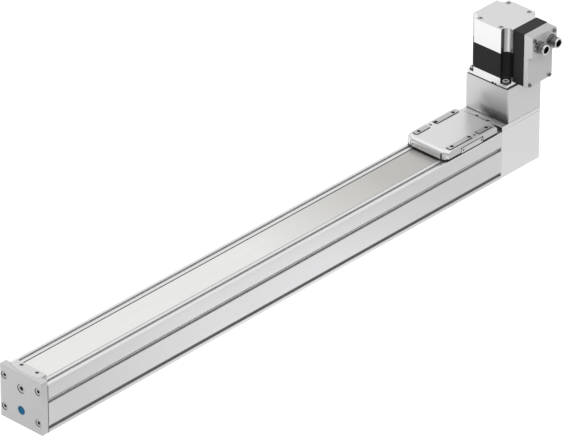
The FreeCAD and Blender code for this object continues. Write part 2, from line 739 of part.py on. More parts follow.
def make_slide_table():
    """The table: a bevelled block with raised pads, and a tunnel for the cover strip under it."""
    half = SLIDE_LENGTH / 2
    cy = SLIDE_CHAMFER_Y
    table = slide_outline(0, SLIDE_LOW, SLIDE_THICKNESS)
    table = table.makeFillet(SLIDE_END_ROUND, end_top_edges(table))
    for sign in (-1, 1):
        for y in (-HALF + cy, HALF - cy):
            groove = box(
                SLIDE_X + sign * half - SLIDE_SEAM_DEPTH, SLIDE_X + sign * half + SLIDE_SEAM_DEPTH,
                y - SLIDE_SEAM_WIDTH / 2, y + SLIDE_SEAM_WIDTH / 2, SLIDE_LOW, SLIDE_TOP - SLIDE_END_ROUND / 2,
            )
            table = table.cut(groove)
    for groove in pad_grooves():
        table = table.cut(groove)
    table = fused([table] + table_pads())
    table = table.cut(box(SLIDE_X - half, SLIDE_X + half, -TUNNEL_HALF, TUNNEL_HALF, SLIDE_LOW, TUNNEL_TOP))
    wing_half = WING_HALF + WING_POCKET_GAP
    wing_wide = WING_HALF_WIDTH + WING_POCKET_GAP
    table = table.cut(box(SLIDE_X - wing_half, SLIDE_X + wing_half, -wing_wide, wing_wide, SLIDE_LOW, WING_TOP))
    pocket = side_cover_shape(SIDE_COVER_GAP, SIDE_COVER_THICKNESS)
    table = table.cut(pocket).cut(turned(pocket, SLIDE_X))
    return drill_table(table)


def end_top_edges(table):
    """The top edges at both ends and along the bevelled corners."""
    found = []
    for edge in table.Edges:
        a, b = (v.Point for v in edge.Vertexes)
        if min(a.z, b.z) > SLIDE_TOP - 1e-3 and abs(a.y - b.y) > 1e-3:
            found.append(edge)
    return found


def pad_blocks(wider, low, high):
    """Blocks in the pads' places, all round wider than the pads by the same amount."""
    blocks = []
    for x0, x1 in (PAD_LONG, PAD_SHORT):
        block = rounded_box(
            SLIDE_X + x0 - wider, SLIDE_X + x1 + wider, -PAD_OUTER - wider, -PAD_INNER + wider,
            low, high, PAD_CORNER + wider,
        )
        blocks += [block, turned(block, SLIDE_X)]
    return blocks


def table_pads():
    return pad_blocks(0, SLIDE_TOP - PAD_GROOVE_DEPTH, SLIDE_TOP + PAD_HEIGHT)


def pad_grooves():
    """The fine groove that runs round each pad's foot."""
    return pad_blocks(PAD_GROOVE, SLIDE_TOP - PAD_GROOVE_DEPTH, SLIDE_TOP + 1)


def drill_table(table):
    top = SLIDE_TOP + PAD_HEIGHT
    for x in (-TABLE_HOLE_X, 0, TABLE_HOLE_X):
        for y in (-TABLE_HOLE_Y, TABLE_HOLE_Y):
            table = table.cut(rod(TABLE_HOLE_R, (SLIDE_X + x, y, top - TABLE_HOLE_DEPTH), TABLE_HOLE_DEPTH, Z))
    for sign in (-1, 1):
        start = (SLIDE_X + sign * PIN_HOLE_X, -sign * PIN_HOLE_Y, SLIDE_TOP - PIN_HOLE_DEPTH)
        table = table.cut(rod(PIN_HOLE_R, start, PIN_HOLE_DEPTH, Z))
    for x, y in body_screw_places():
        table = table.cut(rod(BODY_SCREW_R + SCREW_CLEARANCE, (x, y, WING_TOP), BODY_SCREW_BITE + 0.3, Z))
    for hole in side_screw_holes():
        table = table.cut(hole)
    return table


def side_cover_shape(gap, thickness):
    """The side cover's outline, widened by a gap, from the slide's flank inwards."""
    x0, x1 = (SLIDE_X + x for x in SIDE_COVER_SPAN)
    corner = SIDE_COVER_CORNER
    high = SLIDE_LOW + SIDE_COVER_HEIGHT
    plate = box(x0 - gap, x1 + gap, -HALF, -HALF + thickness, SLIDE_LOW, high + gap)
    edges = []
    for edge in plate.Edges:
        a, b = (v.Point for v in edge.Vertexes)
        if abs(a.x - b.x) < 1e-6 and abs(a.z - b.z) < 1e-6 and a.z > high - 1e-3:
            edges.append(edge)
    return plate.makeFillet(corner, edges)


def side_screw_places():
    return [(SLIDE_X + x, SLIDE_LOW + SIDE_SCREW_RISE) for x in SIDE_SCREW_SPAN]


def side_screw_holes():
    holes = []
    for x, z in side_screw_places():
        hole = rod(SIDE_SCREW_R + 0.05, (x, -HALF, z), SIDE_COVER_THICKNESS + 2.2, Y)
        holes += [hole, turned(hole, SLIDE_X)]
    return holes


def make_side_covers():
    plate = side_cover_shape(0, SIDE_COVER_THICKNESS)
    for x, z in side_screw_places():
        plate = plate.cut(rod(SIDE_SCREW_HEAD_R + 0.1, (x, -HALF, z), SIDE_SCREW_SINK, Y))
        plate = plate.cut(rod(SIDE_SCREW_R + 0.05, (x, -HALF, z), SIDE_COVER_THICKNESS, Y))
    return group([plate, turned(plate, SLIDE_X)])


def make_side_cover_screws():
    shapes = []
    for x, z in side_screw_places():
        length = SIDE_COVER_THICKNESS - SIDE_SCREW_SINK + 2
        screw = cap_screw(SIDE_SCREW_HEAD_R, SIDE_SCREW_SINK, SIDE_SCREW_R, length, (x, SIDE_SCREW_SINK - HALF, z), Y)
        shapes += [screw, turned(screw, SLIDE_X)]
    return group(shapes)


def make_end_plates():
    """The plates that close both ends of the slide's tunnel."""
    x1 = SLIDE_LENGTH / 2 - END_PLATE_INSET
    wide = TUNNEL_HALF - END_PLATE_GAP
    plate = box(SLIDE_X + x1 - END_PLATE_LENGTH, SLIDE_X + x1, -wide, wide, SLIDE_LOW, TUNNEL_TOP)
    return group([plate, turned(plate, SLIDE_X)])


def make_slide_seal():
    """The frame under the slide whose lips run just over the profile and the strip, with a fin up each end seam."""
    low = TOP + SEAL_GAP
    frame = slide_outline(SEAL_INSET, low, SLIDE_LOW - low)
    inner_x = SLIDE_LENGTH / 2 - SEAL_INSET - SEAL_LIP
    inner_y = HALF - SEAL_INSET - SEAL_SIDE_LIP
    frame = frame.cut(box(SLIDE_X - inner_x, SLIDE_X + inner_x, -inner_y, inner_y, low, SLIDE_LOW))
    x0 = SLIDE_LENGTH / 2 - SLIDE_SEAM_DEPTH + SEAL_FIN_GAP
    x1 = SLIDE_LENGTH / 2 - SEAL_INSET
    wide = SLIDE_SEAM_WIDTH / 2 - SEAL_FIN_GAP
    high = SLIDE_TOP - SLIDE_END_ROUND - SEAL_FIN_GAP
    fins = []
    for y in (SLIDE_CHAMFER_Y - HALF, HALF - SLIDE_CHAMFER_Y):
        fin = box(SLIDE_X + x0, SLIDE_X + x1, y - wide, y + wide, low, high)
        fins += [fin, turned(fin, SLIDE_X)]
    return fused([frame] + fins)


def make_cover_strip():
    """The thin band from clamp to clamp, with its hump inside the slide."""
    low = STRIP_SEAT
    high = low + STRIP_THICKNESS
    lift = STRIP_LIFT
    ramp = [(-LIFT_FOOT, 0), (-LIFT_FLAT, lift), (LIFT_FLAT, lift), (LIFT_FOOT, 0)]
    start = X_START + ANCHOR_FRONT
    end = X_END + STRIP_HEAD_BITE
    lower = [(start, low)] + [(SLIDE_X + x, low + z) for x, z in ramp] + [(end, low)]
    upper = [(x, z + high - low) for x, z in lower]
    outline = [(x, -STRIP_HALF, z) for x, z in lower + upper[::-1]]
    strip = prism(outline, Y * STRIP_WIDTH)
    for x, y in clamp_screw_places():
        strip = strip.cut(rod(CLAMP_SCREW_R + SCREW_CLEARANCE, (x, y, low - 1), 3, Z))
    for x, y in head_strip_screw_places():
        strip = strip.cut(rod(HEAD_STRIP_SCREW_R + SCREW_CLEARANCE, (x, y, low - 1), 3, Z))
    return strip


def make_toothed_belt():
    """The closed belt on edge round both pulleys, a smooth band that runs on the tooth tips."""
    return belt_loop(BELT_OUTER).cut(belt_loop(BELT_INNER))


def belt_loop(radius):
    run = box(IDLER_X, DRIVE_X, -radius, radius, BELT_LOW, BELT_HIGH)
    ends = [rod(radius, (x, 0, BELT_LOW), BELT_WIDTH, Z) for x in (IDLER_X, DRIVE_X)]
    return fused([run] + ends)


def toothed_wheel(x, bore_r):
    """A timing pulley with a vertical axis, its teeth between two flanges."""
    step = 2 * math.pi / PULLEY_TEETH
    root = PULLEY_R - PULLEY_TOOTH_DEPTH
    outline = []
    for i in range(PULLEY_TEETH):
        for share, radius in ((-0.29, PULLEY_R), (0.29, PULLEY_R), (0.37, root), (0.63, root)):
            angle = (i + share) * step
            outline.append((x + radius * math.cos(angle), radius * math.sin(angle), PULLEY_LOW))
    wheel = prism(outline, Z * (PULLEY_HIGH - PULLEY_LOW))
    flange_r = PULLEY_R + PULLEY_FLANGE_RISE
    low = rod(flange_r, (x, 0, PULLEY_LOW - PULLEY_FLANGE), PULLEY_FLANGE, Z)
    high = rod(flange_r, (x, 0, PULLEY_HIGH), PULLEY_FLANGE, Z)
    wheel = fused([wheel, low, high])
    return wheel.cut(rod(bore_r, (x, 0, PULLEY_LOW - 5), PULLEY_HIGH - PULLEY_LOW + 10, Z))


def make_idler_pulley():
    return toothed_wheel(IDLER_X, IDLER_BEARING_R)


def make_idler_bearings():
    low = PULLEY_LOW - PULLEY_FLANGE
    high = PULLEY_HIGH + PULLEY_FLANGE - IDLER_BEARING_HEIGHT
    return group([
        ring(IDLER_BEARING_R, IDLER_AXLE_R + RUNNING_GAP, (IDLER_X, 0, z), IDLER_BEARING_HEIGHT, Z)
        for z in (low, high)
    ])


def yoke_levels():
    """Lower and upper faces of the yoke's two plates."""
    low_top = PULLEY_LOW - PULLEY_FLANGE - YOKE_PLATE_GAP
    high_low = PULLEY_HIGH + PULLEY_FLANGE + YOKE_PLATE_GAP
    return low_top - YOKE_PLATE, low_top, high_low, high_low + YOKE_PLATE


def make_idler_yoke():
    """A fork that carries the idler axle and is drawn towards the end cap by the tension screw."""
    z0, z1, z2, z3 = yoke_levels()
    x0 = X_START + YOKE_BACK_START
    x1 = x0 + YOKE_BACK
    x2 = IDLER_X + YOKE_REACH
    wide = CAVITY_HALF - YOKE_GUIDE_GAP
    back = box(x0, x1, -wide, wide, z0, z3)
    plates = [box(x0, x2, -YOKE_HALF_WIDTH, YOKE_HALF_WIDTH, a, b) for a, b in ((z0, z1), (z2, z3))]
    yoke = fused([back] + plates)
    yoke = yoke.cut(rod(IDLER_AXLE_R, (IDLER_X, 0, z0), z3 - z0, Z))
    return yoke.cut(rod(TENSION_SCREW_R + SCREW_CLEARANCE, (x0, 0, BELT_MID), YOKE_BACK, X))


def make_idler_axle():
    z0, _, _, z3 = yoke_levels()
    return rod(IDLER_AXLE_R, (IDLER_X, 0, z0), z3 - z0, Z)


def clamp_arc_edge(gap, x_back, half_width, z0, z1):
    """A plate behind an arc that bulges towards the idler end."""
    near = CAP_X + CLAMP_ARC_NEAR - gap
    radius = CLAMP_ARC_R + gap
    plate = box(near, x_back, -half_width, half_width, z0, z1)
    return plate.common(rod(radius, (near + radius, 0, z0), z1 - z0, Z))


def make_end_cap():
    cap = rounded_box(CAP_X, X_START, -HALF, HALF, 0, CAP_TOP, CAP_CORNER_R)
    cap = cap.makeChamfer(CAP_CHAMFER, flat_edges(cap, Z, CAP_TOP))
    for y, z in SCREW_PLACES:
        cap = cap.cut(rod(CORNER_SCREW_R + SCREW_CLEARANCE, (CAP_X, y, z), CAP_THICKNESS, X))
        cap = cap.cut(rod(CORNER_HEAD_R + COUNTERBORE_GAP, (CAP_X, y, z), CAP_SCREW_SINK, X))
    cap = cap.cut(rod(TENSION_SCREW_R + SCREW_CLEARANCE, (CAP_X, 0, BELT_MID), CAP_THICKNESS, X))
    cap = cap.cut(rod(TENSION_HEAD_R + COUNTERBORE_GAP, (CAP_X, 0, BELT_MID), CAP_TENSION_SINK, X))
    cap = cap.cut(rod(PLUG_R, (CAP_X, 0, PLUG_HEIGHT), PLUG_DEPTH, X))
    recess = clamp_arc_edge(CLAMP_GAP, X_START, CLAMP_WIDTH / 2 + CLAMP_GAP, TOP, CAP_TOP)
    return cap.cut(recess)


def make_end_cap_screws():
    length = CAP_THICKNESS - CAP_SCREW_SINK + CORNER_SCREW_GRIP
    return group([
        cap_screw(
            CORNER_HEAD_R, CORNER_HEAD_HEIGHT, CORNER_SCREW_R, length, (CAP_X + CAP_SCREW_SINK, y, z), X,
        )
        for y, z in SCREW_PLACES
    ])


def make_tension_screw():
    length = CAP_THICKNESS - CAP_TENSION_SINK + YOKE_BACK_START + YOKE_BACK
    start = (CAP_X + CAP_TENSION_SINK, 0, BELT_MID)
    return cap_screw(TENSION_HEAD_R, TENSION_HEAD_HEIGHT, TENSION_SCREW_R, length, start, X)


def make_port_plug():
    """A closed plug in the air port, its face slightly dished."""
    plug = rod(PLUG_R, (CAP_X + PLUG_SINK, 0, PLUG_HEIGHT), PLUG_DEPTH - PLUG_SINK, X)
    return plug.cut(rod(PLUG_R * 0.72, (CAP_X + PLUG_SINK, 0, PLUG_HEIGHT), 0.6, X))


def clamp_screw_places():
    return [(X_START + CLAMP_SCREW_BACK, sy * CLAMP_SCREW_Y) for sy in (-1, 1)]


def make_strip_clamp():
    """The plate with the arc edge that holds the strip's end over the idler."""
    low = STRIP_SEAT + STRIP_THICKNESS
    plate = clamp_arc_edge(0, X_START, CLAMP_WIDTH / 2, TOP, CAP_TOP)
    tail = box(X_START, X_START + CLAMP_BACK, -CLAMP_WIDTH / 2, CLAMP_WIDTH / 2, TOP, CAP_TOP)
    tongue = box(X_START, X_START + CLAMP_BACK, -STRIP_HALF, STRIP_HALF, low, TOP)
    clamp = fused([plate, tail, tongue])
    for x, y in clamp_screw_places():
        clamp = clamp.cut(rod(CLAMP_SCREW_R + SCREW_CLEARANCE, (x, y, low), CAP_TOP - low, Z))
        clamp = clamp.cut(rod(CLAMP_HEAD_R + SCREW_CLEARANCE, (x, y, CAP_TOP - 2.4), 2.4, Z))
    return clamp


def make_strip_anchor():
    """The block in the profile's opening that the strip clamp is screwed down to."""
    anchor = box(
        X_START + ANCHOR_FRONT, X_START + CLAMP_BACK, -OPENING_HALF, OPENING_HALF,
        STRIP_SEAT - ANCHOR_HEIGHT + 0.3, STRIP_SEAT,
    )
    for x, y in clamp_screw_places():
        start = (x, y, STRIP_SEAT - ANCHOR_HEIGHT)
        anchor = anchor.cut(rod(CLAMP_SCREW_R + SCREW_CLEARANCE, start, ANCHOR_HEIGHT, Z))
    return anchor


def make_strip_clamp_screws():
    under = CAP_TOP - 2.4
    length = under - STRIP_SEAT + ANCHOR_HEIGHT - 0.6
    return group([
        cap_screw(CLAMP_HEAD_R, 2.0, CLAMP_SCREW_R, length, (x, y, under), -Z, socket=False)
        for x, y in clamp_screw_places()
    ])


def make_stop_posts():
    """Posts on the end cap and on the head, which carry the rubber buffers."""
    return group([
        rod(STOP_R, (X_START, 0, STOP_HEIGHT), STOP_POST_IDLER, X),
        rod(STOP_R, (X_END, 0, STOP_HEIGHT), STOP_POST_DRIVE, -X),
    ])


def make_stop_buffers():
    return group([
        rod(STOP_R, (X_START + STOP_POST_IDLER, 0, STOP_HEIGHT), STOP_RUBBER, X),
        rod(STOP_R, (X_END - STOP_POST_DRIVE, 0, STOP_HEIGHT), STOP_RUBBER, -X),
    ])


def bearing_levels():
    """Undersides of the two bearings of the drive shaft."""
    low = PULLEY_LOW - PULLEY_FLANGE - PULLEY_HUB_GAP * 2 - 0.5
    high = PULLEY_HIGH + PULLEY_FLANGE + PULLEY_HUB_GAP * 2 + 0.5
    return low - BEARING_HEIGHT, high


def make_drive_head():
    """The cast block that carries the drive pulley, closed above by the top plate."""
    head = rounded_box(X_END, HEAD_REAR, -HALF, HALF, 0, HEAD_SEAM, HEAD_CORNER_R)
    low, high = bearing_levels()
    cavity_r = PULLEY_R + PULLEY_FLANGE_RISE + HEAD_CAVITY_MARGIN
    floor = low + BEARING_HEIGHT
    head = head.cut(box(X_END, DRIVE_X, -cavity_r, cavity_r, floor, high))
    head = head.cut(rod(cavity_r, (DRIVE_X, 0, floor), high - floor, Z))
    head = head.cut(rod(BEARING_R, (DRIVE_X, 0, low), BEARING_HEIGHT, Z))
    head = head.cut(rod(BEARING_R, (DRIVE_X, 0, high), HEAD_SEAM - high, Z))
    head = head.cut(rod(DRIVE_SHAFT_R + 2, (DRIVE_X, 0, low - 3), 3, Z))
    head = head.cut(strip_pocket(0.1))
    for y, z in SCREW_PLACES:
        head = head.cut(rod(CORNER_SCREW_R + SCREW_CLEARANCE, (X_END, y, z), HEAD_SCREW_FLANGE, X))
        start = (X_END + HEAD_SCREW_FLANGE, y, z)
        head = head.cut(rod(CORNER_HEAD_R + COUNTERBORE_GAP, start, HEAD_LENGTH, X))
    for x, y in block_screw_places():
        depth = BLOCK_SCREW_BITE + 1
        head = head.cut(rod(BLOCK_SCREW_R + SCREW_CLEARANCE, (x, y, HEAD_SEAM - depth), depth, Z))
    for x, y in head_strip_screw_places():
        head = head.cut(rod(HEAD_STRIP_SCREW_R + SCREW_CLEARANCE, (x, y, HEAD_SEAM - 8), 8, Z))
    return head


def strip_pocket(gap):
    """The step in the head's front where the strip's end lies."""
    return box(
        X_END, X_END + STRIP_HEAD_BITE + gap, -STRIP_HALF - gap, STRIP_HALF + gap, STRIP_SEAT, HEAD_SEAM,
    )


def make_head_top_plate():
    plate = rounded_box(X_END, HEAD_REAR, -HALF, HALF, HEAD_SEAM, HEAD_TOP, HEAD_CORNER_R)
    plate = plate.makeChamfer(SEAM_CHAMFER, flat_edges(plate, Z, HEAD_SEAM))
    tongue = strip_pocket(0).cut(
        box(X_END, X_END + STRIP_HEAD_BITE, -HALF, HALF, STRIP_SEAT, STRIP_SEAT + STRIP_THICKNESS)
    )
    plate = fused([plate, tongue])
    plate = plate.cut(rod(DRIVE_SHAFT_R + 2, (DRIVE_X, 0, HEAD_SEAM), HEAD_PLATE_THICKNESS, Z))
    for x, y in block_screw_places():
        plate = plate.cut(rod(BLOCK_SCREW_R + SCREW_CLEARANCE, (x, y, HEAD_SEAM), HEAD_PLATE_THICKNESS, Z))
    for x, y in head_strip_screw_places():
        plate = plate.cut(rod(HEAD_STRIP_SCREW_R + SCREW_CLEARANCE, (x, y, STRIP_SEAT), HEAD_TOP - STRIP_SEAT, Z))
        plate = plate.cut(rod(HEAD_STRIP_HEAD_R + 0.1, (x, y, HEAD_TOP - 1.6), 1.6, Z))
    return plate


def head_strip_screw_places():
    return [(X_END + HEAD_STRIP_SCREW_X, sy * HEAD_STRIP_SCREW_Y) for sy in (-1, 1)]


def make_head_strip_screws():
    under = HEAD_TOP - 1.6
    return group([
        cap_screw(HEAD_STRIP_HEAD_R, 1.3, HEAD_STRIP_SCREW_R, under - HEAD_SEAM + 7, (x, y, under), -Z, socket=False)
        for x, y in head_strip_screw_places()
    ])


def make_head_screws():
    return group([
        cap_screw(
            CORNER_HEAD_R, CORNER_HEAD_HEIGHT, CORNER_SCREW_R, HEAD_SCREW_FLANGE + CORNER_SCREW_GRIP,
            (X_END + HEAD_SCREW_FLANGE, y, z), -X,
        )
        for y, z in SCREW_PLACES
    ])


def make_drive_bearings():
    return group([
        ring(BEARING_R, DRIVE_SHAFT_R + RUNNING_GAP, (DRIVE_X, 0, z), BEARING_HEIGHT, Z)
        for z in bearing_levels()
    ])


def make_drive_pulley():
    low, high = bearing_levels()
    wheel = toothed_wheel(DRIVE_X, DRIVE_SHAFT_R)
    hub_low = low + BEARING_HEIGHT + PULLEY_HUB_GAP
    hub = ring(PULLEY_HUB_R, DRIVE_SHAFT_R, (DRIVE_X, 0, hub_low), high - PULLEY_HUB_GAP - hub_low, Z)
    return fused([wheel, hub])


def make_drive_shaft():
    low, _ = bearing_levels()
    return rod(DRIVE_SHAFT_R, (DRIVE_X, 0, low - 1), JAW_LOW - 0.5 - low + 1, Z)


def block_screw_places():
    return [(DRIVE_X + sx * BLOCK_SCREW_X, sy * BLOCK_SCREW_Y) for sx in (-1, 1) for sy in (-1, 1)]


def make_coupling_housing():
    """The block on the head, bored through for the coupling."""
    block = rounded_box(BLOCK_FRONT, HEAD_REAR, -HALF, HALF, HEAD_TOP, BLOCK_TOP, HEAD_CORNER_R)
    block = block.makeChamfer(SEAM_CHAMFER, flat_edges(block, Z, HEAD_TOP))
    block = block.cut(rod(BLOCK_BORE_R, (DRIVE_X, 0, HEAD_TOP), BLOCK_HEIGHT, Z))
    pilot = PILOT_DEPTH + 0.4
    block = block.cut(rod(PILOT_R + PILOT_GAP, (DRIVE_X, 0, BLOCK_TOP - pilot), pilot, Z))
    sink = BLOCK_HEAD_HEIGHT + 0.4
    for x, y in block_screw_places():
        block = block.cut(rod(BLOCK_SCREW_R + SCREW_CLEARANCE, (x, y, HEAD_TOP), BLOCK_HEIGHT, Z))
        block = block.cut(rod(BLOCK_HEAD_R + COUNTERBORE_GAP, (x, y, BLOCK_TOP - sink), sink, Z))
    for x, y in flange_screw_places():
        start = (x, y, BLOCK_TOP - FLANGE_SCREW_BITE - 1)
        block = block.cut(rod(FLANGE_SCREW_R + SCREW_CLEARANCE, start, FLANGE_SCREW_BITE + 1, Z))
    return block


def make_housing_screws():
    under = BLOCK_TOP - BLOCK_HEAD_HEIGHT - 0.4
    length = under - HEAD_SEAM + BLOCK_SCREW_BITE
    return group([
        cap_screw(BLOCK_HEAD_R, BLOCK_HEAD_HEIGHT, BLOCK_SCREW_R, length, (x, y, under), -Z, socket=False)
        for x, y in block_screw_places()
    ])


def jaw_places(offset):
    """Start angles of one hub's jaws."""
    return [offset + 360.0 / COUPLING_JAWS * i for i in range(COUPLING_JAWS)]


def coupling_hub(z0, jaw_z0, jaw_z1, bore_r, offset):
    hub = ring(COUPLING_R, bore_r, (DRIVE_X, 0, z0), COUPLING_HUB, Z)
    half = COUPLING_JAW_ANGLE / 2
    jaws = [
        sector(COUPLING_BORE_WALL, COUPLING_R, a - half, a + half, jaw_z0, jaw_z1)
        for a in jaw_places(offset)
    ]
    return fused([hub] + jaws)


def make_pulley_hub():
    return coupling_hub(HUB_LOW, JAW_LOW, JAW_HIGH - COUPLING_GAP, DRIVE_SHAFT_R, 0)


def make_motor_hub():
    return coupling_hub(JAW_HIGH, JAW_LOW + COUPLING_GAP, JAW_HIGH, MOTOR_SHAFT_R, 180.0 / COUPLING_JAWS)


def make_coupling_spider():
    """The elastic star between the jaws of the two hubs."""
    low = JAW_LOW + COUPLING_GAP
    high = JAW_HIGH - COUPLING_GAP
    arm = 180.0 / COUPLING_JAWS - COUPLING_JAW_ANGLE
    arms = []
    for i in range(2 * COUPLING_JAWS):
        middle = 180.0 / COUPLING_JAWS * (i + 0.5)
        arms.append(sector(4.6, COUPLING_R - 0.3, middle - arm / 2, middle + arm / 2, low, high))
    eye = ring(COUPLING_BORE_WALL - 0.1, 4.5, (DRIVE_X, 0, low), high - low, Z)
    return fused([eye] + arms)


def motor_section(z0, z1):
    """A length of the motor's body: square, with the corners scooped out for the flange screws."""
    body = box(DRIVE_X - MOTOR_HALF, DRIVE_X + MOTOR_HALF, -MOTOR_HALF, MOTOR_HALF, z0, z1)
    reach = MOTOR_HALF - MOTOR_SCOOP_INSET
    for sx in (-1, 1):
        for sy in (-1, 1):
            place = (DRIVE_X + sx * reach, sy * reach, z0)
            body = body.cut(rod(MOTOR_SCOOP_R, place, z1 - z0, Z))
            corner = (DRIVE_X + sx * MOTOR_HALF, sy * MOTOR_HALF, z0)
            body = body.cut(rod(MOTOR_SCOOP_R, corner, z1 - z0, Z))
    return body


def flange_screw_places():
    half = FLANGE_SCREW_PITCH / 2
    return [(DRIVE_X + sx * half, sy * half) for sx in (-1, 1) for sy in (-1, 1)]


def rear_screw_places():
    return [(DRIVE_X + sx * REAR_SCREW_X, sy * REAR_SCREW_Y) for sx in (-1, 1) for sy in (-1, 1)]


def make_motor_gasket():
    half = MOTOR_HALF - GASKET_INSET
    plate = rounded_box(DRIVE_X - half, DRIVE_X + half, -half, half, BLOCK_TOP, FLANGE_LOW, MOTOR_CORNER_R)
    plate = plate.cut(rod(PILOT_R + PILOT_GAP, (DRIVE_X, 0, BLOCK_TOP), GASKET_THICKNESS, Z))
    for x, y in flange_screw_places():
        plate = plate.cut(rod(FLANGE_SCREW_R + SCREW_CLEARANCE, (x, y, BLOCK_TOP), GASKET_THICKNESS, Z))
    return plate


def make_motor_flange():
    """The flange: a square foot under a scooped body, with the pilot and the lower bearing seat."""
    foot = rounded_box(
        DRIVE_X - MOTOR_HALF, DRIVE_X + MOTOR_HALF, -MOTOR_HALF, MOTOR_HALF,
        FLANGE_LOW, FLANGE_LOW + FLANGE_FOOT, MOTOR_CORNER_R,
    )
    pilot = rod(PILOT_R, (DRIVE_X, 0, BLOCK_TOP - PILOT_DEPTH), PILOT_DEPTH + GASKET_THICKNESS, Z)
    flange = fused([foot, motor_section(FLANGE_LOW + FLANGE_FOOT, FLANGE_TOP), pilot])
    seat = FLANGE_TOP - MOTOR_BEARING_HEIGHT - MOTOR_BEARING_STEP
    pilot_low = BLOCK_TOP - PILOT_DEPTH
    flange = flange.cut(rod(MOTOR_SHAFT_R + 1, (DRIVE_X, 0, pilot_low), FLANGE_TOP - pilot_low, Z))
    flange = flange.cut(rod(MOTOR_BEARING_R, (DRIVE_X, 0, seat), FLANGE_TOP - seat, Z))
    pocket_low = FLANGE_LOW + FLANGE_FOOT
    for x, y in flange_screw_places():
        flange = flange.cut(rod(FLANGE_SCREW_R + SCREW_CLEARANCE, (x, y, FLANGE_LOW), FLANGE_FOOT, Z))
        flange = flange.cut(rod(FLANGE_HEAD_R + FLANGE_POCKET_GAP, (x, y, pocket_low), FLANGE_TOP - pocket_low, Z))
    for x, y in rear_screw_places():
        flange = flange.cut(rod(REAR_SCREW_R + SCREW_CLEARANCE, (x, y, FLANGE_TOP - 6), 6, Z))
    x0 = DRIVE_X - MOTOR_HALF
    for y, width in PRY_SLOTS:
        slot = box(
            x0, x0 + PRY_SLOT_DEPTH, y - width / 2, y + width / 2, FLANGE_LOW, FLANGE_LOW + PRY_SLOT_HEIGHT,
        )
        flange = flange.cut(slot)
    return flange


def make_flange_screws():
    under = FLANGE_LOW + FLANGE_FOOT
    length = FLANGE_FOOT + GASKET_THICKNESS + FLANGE_SCREW_BITE
    return group([
        cap_screw(FLANGE_HEAD_R, FLANGE_HEAD_HEIGHT, FLANGE_SCREW_R, length, (x, y, under), -Z)
        for x, y in flange_screw_places()
    ])


def make_motor_stator():
    body = motor_section(FLANGE_TOP, STATOR_TOP)
    body = body.cut(rod(STATOR_BORE_R, (DRIVE_X, 0, FLANGE_TOP), STATOR_HEIGHT, Z))
    for x, y in rear_screw_places():
        body = body.cut(rod(REAR_SCREW_R + SCREW_CLEARANCE, (x, y, FLANGE_TOP), STATOR_HEIGHT, Z))
    return body


def make_motor_rear_housing():
    body = motor_section(STATOR_TOP, MOTOR_TOP)
    depth = MOTOR_BEARING_HEIGHT + MOTOR_BEARING_STEP
    body = body.cut(rod(MOTOR_BEARING_R, (DRIVE_X, 0, STATOR_TOP), depth, Z))
    body = body.cut(rod(MOTOR_SHAFT_R + 1, (DRIVE_X, 0, STATOR_TOP), depth + 4, Z))
    sink = REAR_HEAD_HEIGHT - REAR_HEAD_RISE
    for x, y in rear_screw_places():
        body = body.cut(rod(REAR_SCREW_R + SCREW_CLEARANCE, (x, y, STATOR_TOP), REAR_HEIGHT, Z))
        body = body.cut(rod(REAR_HEAD_R + REAR_HEAD_GAP, (x, y, MOTOR_TOP - sink), sink, Z))
    return body


def make_motor_rear_screws():
    """Long screws from the rear housing down into the flange, their heads nearly flush."""
    under = MOTOR_TOP - REAR_HEAD_HEIGHT + REAR_HEAD_RISE
    length = under - FLANGE_TOP + 5
    return group([
        cap_screw(REAR_HEAD_R, REAR_HEAD_HEIGHT, REAR_SCREW_R, length, (x, y, under), -Z)
        for x, y in rear_screw_places()
    ])


def make_motor_bearings():
    low = FLANGE_TOP - MOTOR_BEARING_HEIGHT - MOTOR_BEARING_STEP
    high = STATOR_TOP + MOTOR_BEARING_STEP
    return group([
        ring(MOTOR_BEARING_R, MOTOR_SHAFT_R + RUNNING_GAP, (DRIVE_X, 0, z), MOTOR_BEARING_HEIGHT, Z)
        for z in (low, high)
    ])


def make_motor_rotor():
    """The rotor and its shaft, which reaches down into the motor hub."""
    low = JAW_HIGH + 1
    top = STATOR_TOP + MOTOR_BEARING_HEIGHT + MOTOR_BEARING_STEP + 2
    shaft = rod(MOTOR_SHAFT_R, (DRIVE_X, 0, low), top - low, Z)
    core_low = FLANGE_TOP + ROTOR_END_GAP
    core = rod(STATOR_BORE_R - ROTOR_GAP, (DRIVE_X, 0, core_low), STATOR_HEIGHT - 2 * ROTOR_END_GAP, Z)
    return fused([shaft, core])


def make_electronics_spacer():
    """The open frame between the motor's side and the cover."""
    block = box(BOX_FRONT, BOX_FRONT + BOX_WIDTH, COVER_Y, -MOTOR_HALF, BOX_LOW, BOX_HIGH)
    wall = BOX_WALL
    inside = box(
        BOX_FRONT + wall, BOX_FRONT + BOX_WIDTH - wall, COVER_Y, -MOTOR_HALF - wall,
        BOX_LOW + wall, BOX_HIGH - wall,
    )
    block = block.cut(inside)
    bosses = []
    for x, z in cover_screw_places():
        bosses.append(rod(COVER_SCREW_INSET, (x, COVER_Y, z), BOX_DEPTH, Y))
    frame_space = box(BOX_FRONT, BOX_FRONT + BOX_WIDTH, COVER_Y, -MOTOR_HALF, BOX_LOW, BOX_HIGH)
    block = fused([block] + [boss.common(frame_space) for boss in bosses])
    for x, z in cover_screw_places():
        block = block.cut(rod(COVER_SCREW_R + 0.1, (x, COVER_Y, z), COVER_SCREW_BITE + 1, Y))
    return block


def cover_screw_places():
    x0 = COVER_FRONT + COVER_SCREW_INSET
    x1 = BOX_FRONT + BOX_WIDTH - COVER_SCREW_INSET
    return [(x, z) for x in (x0, x1) for z in (BOX_LOW + COVER_SCREW_INSET, BOX_HIGH - COVER_SCREW_INSET - 1.5)]


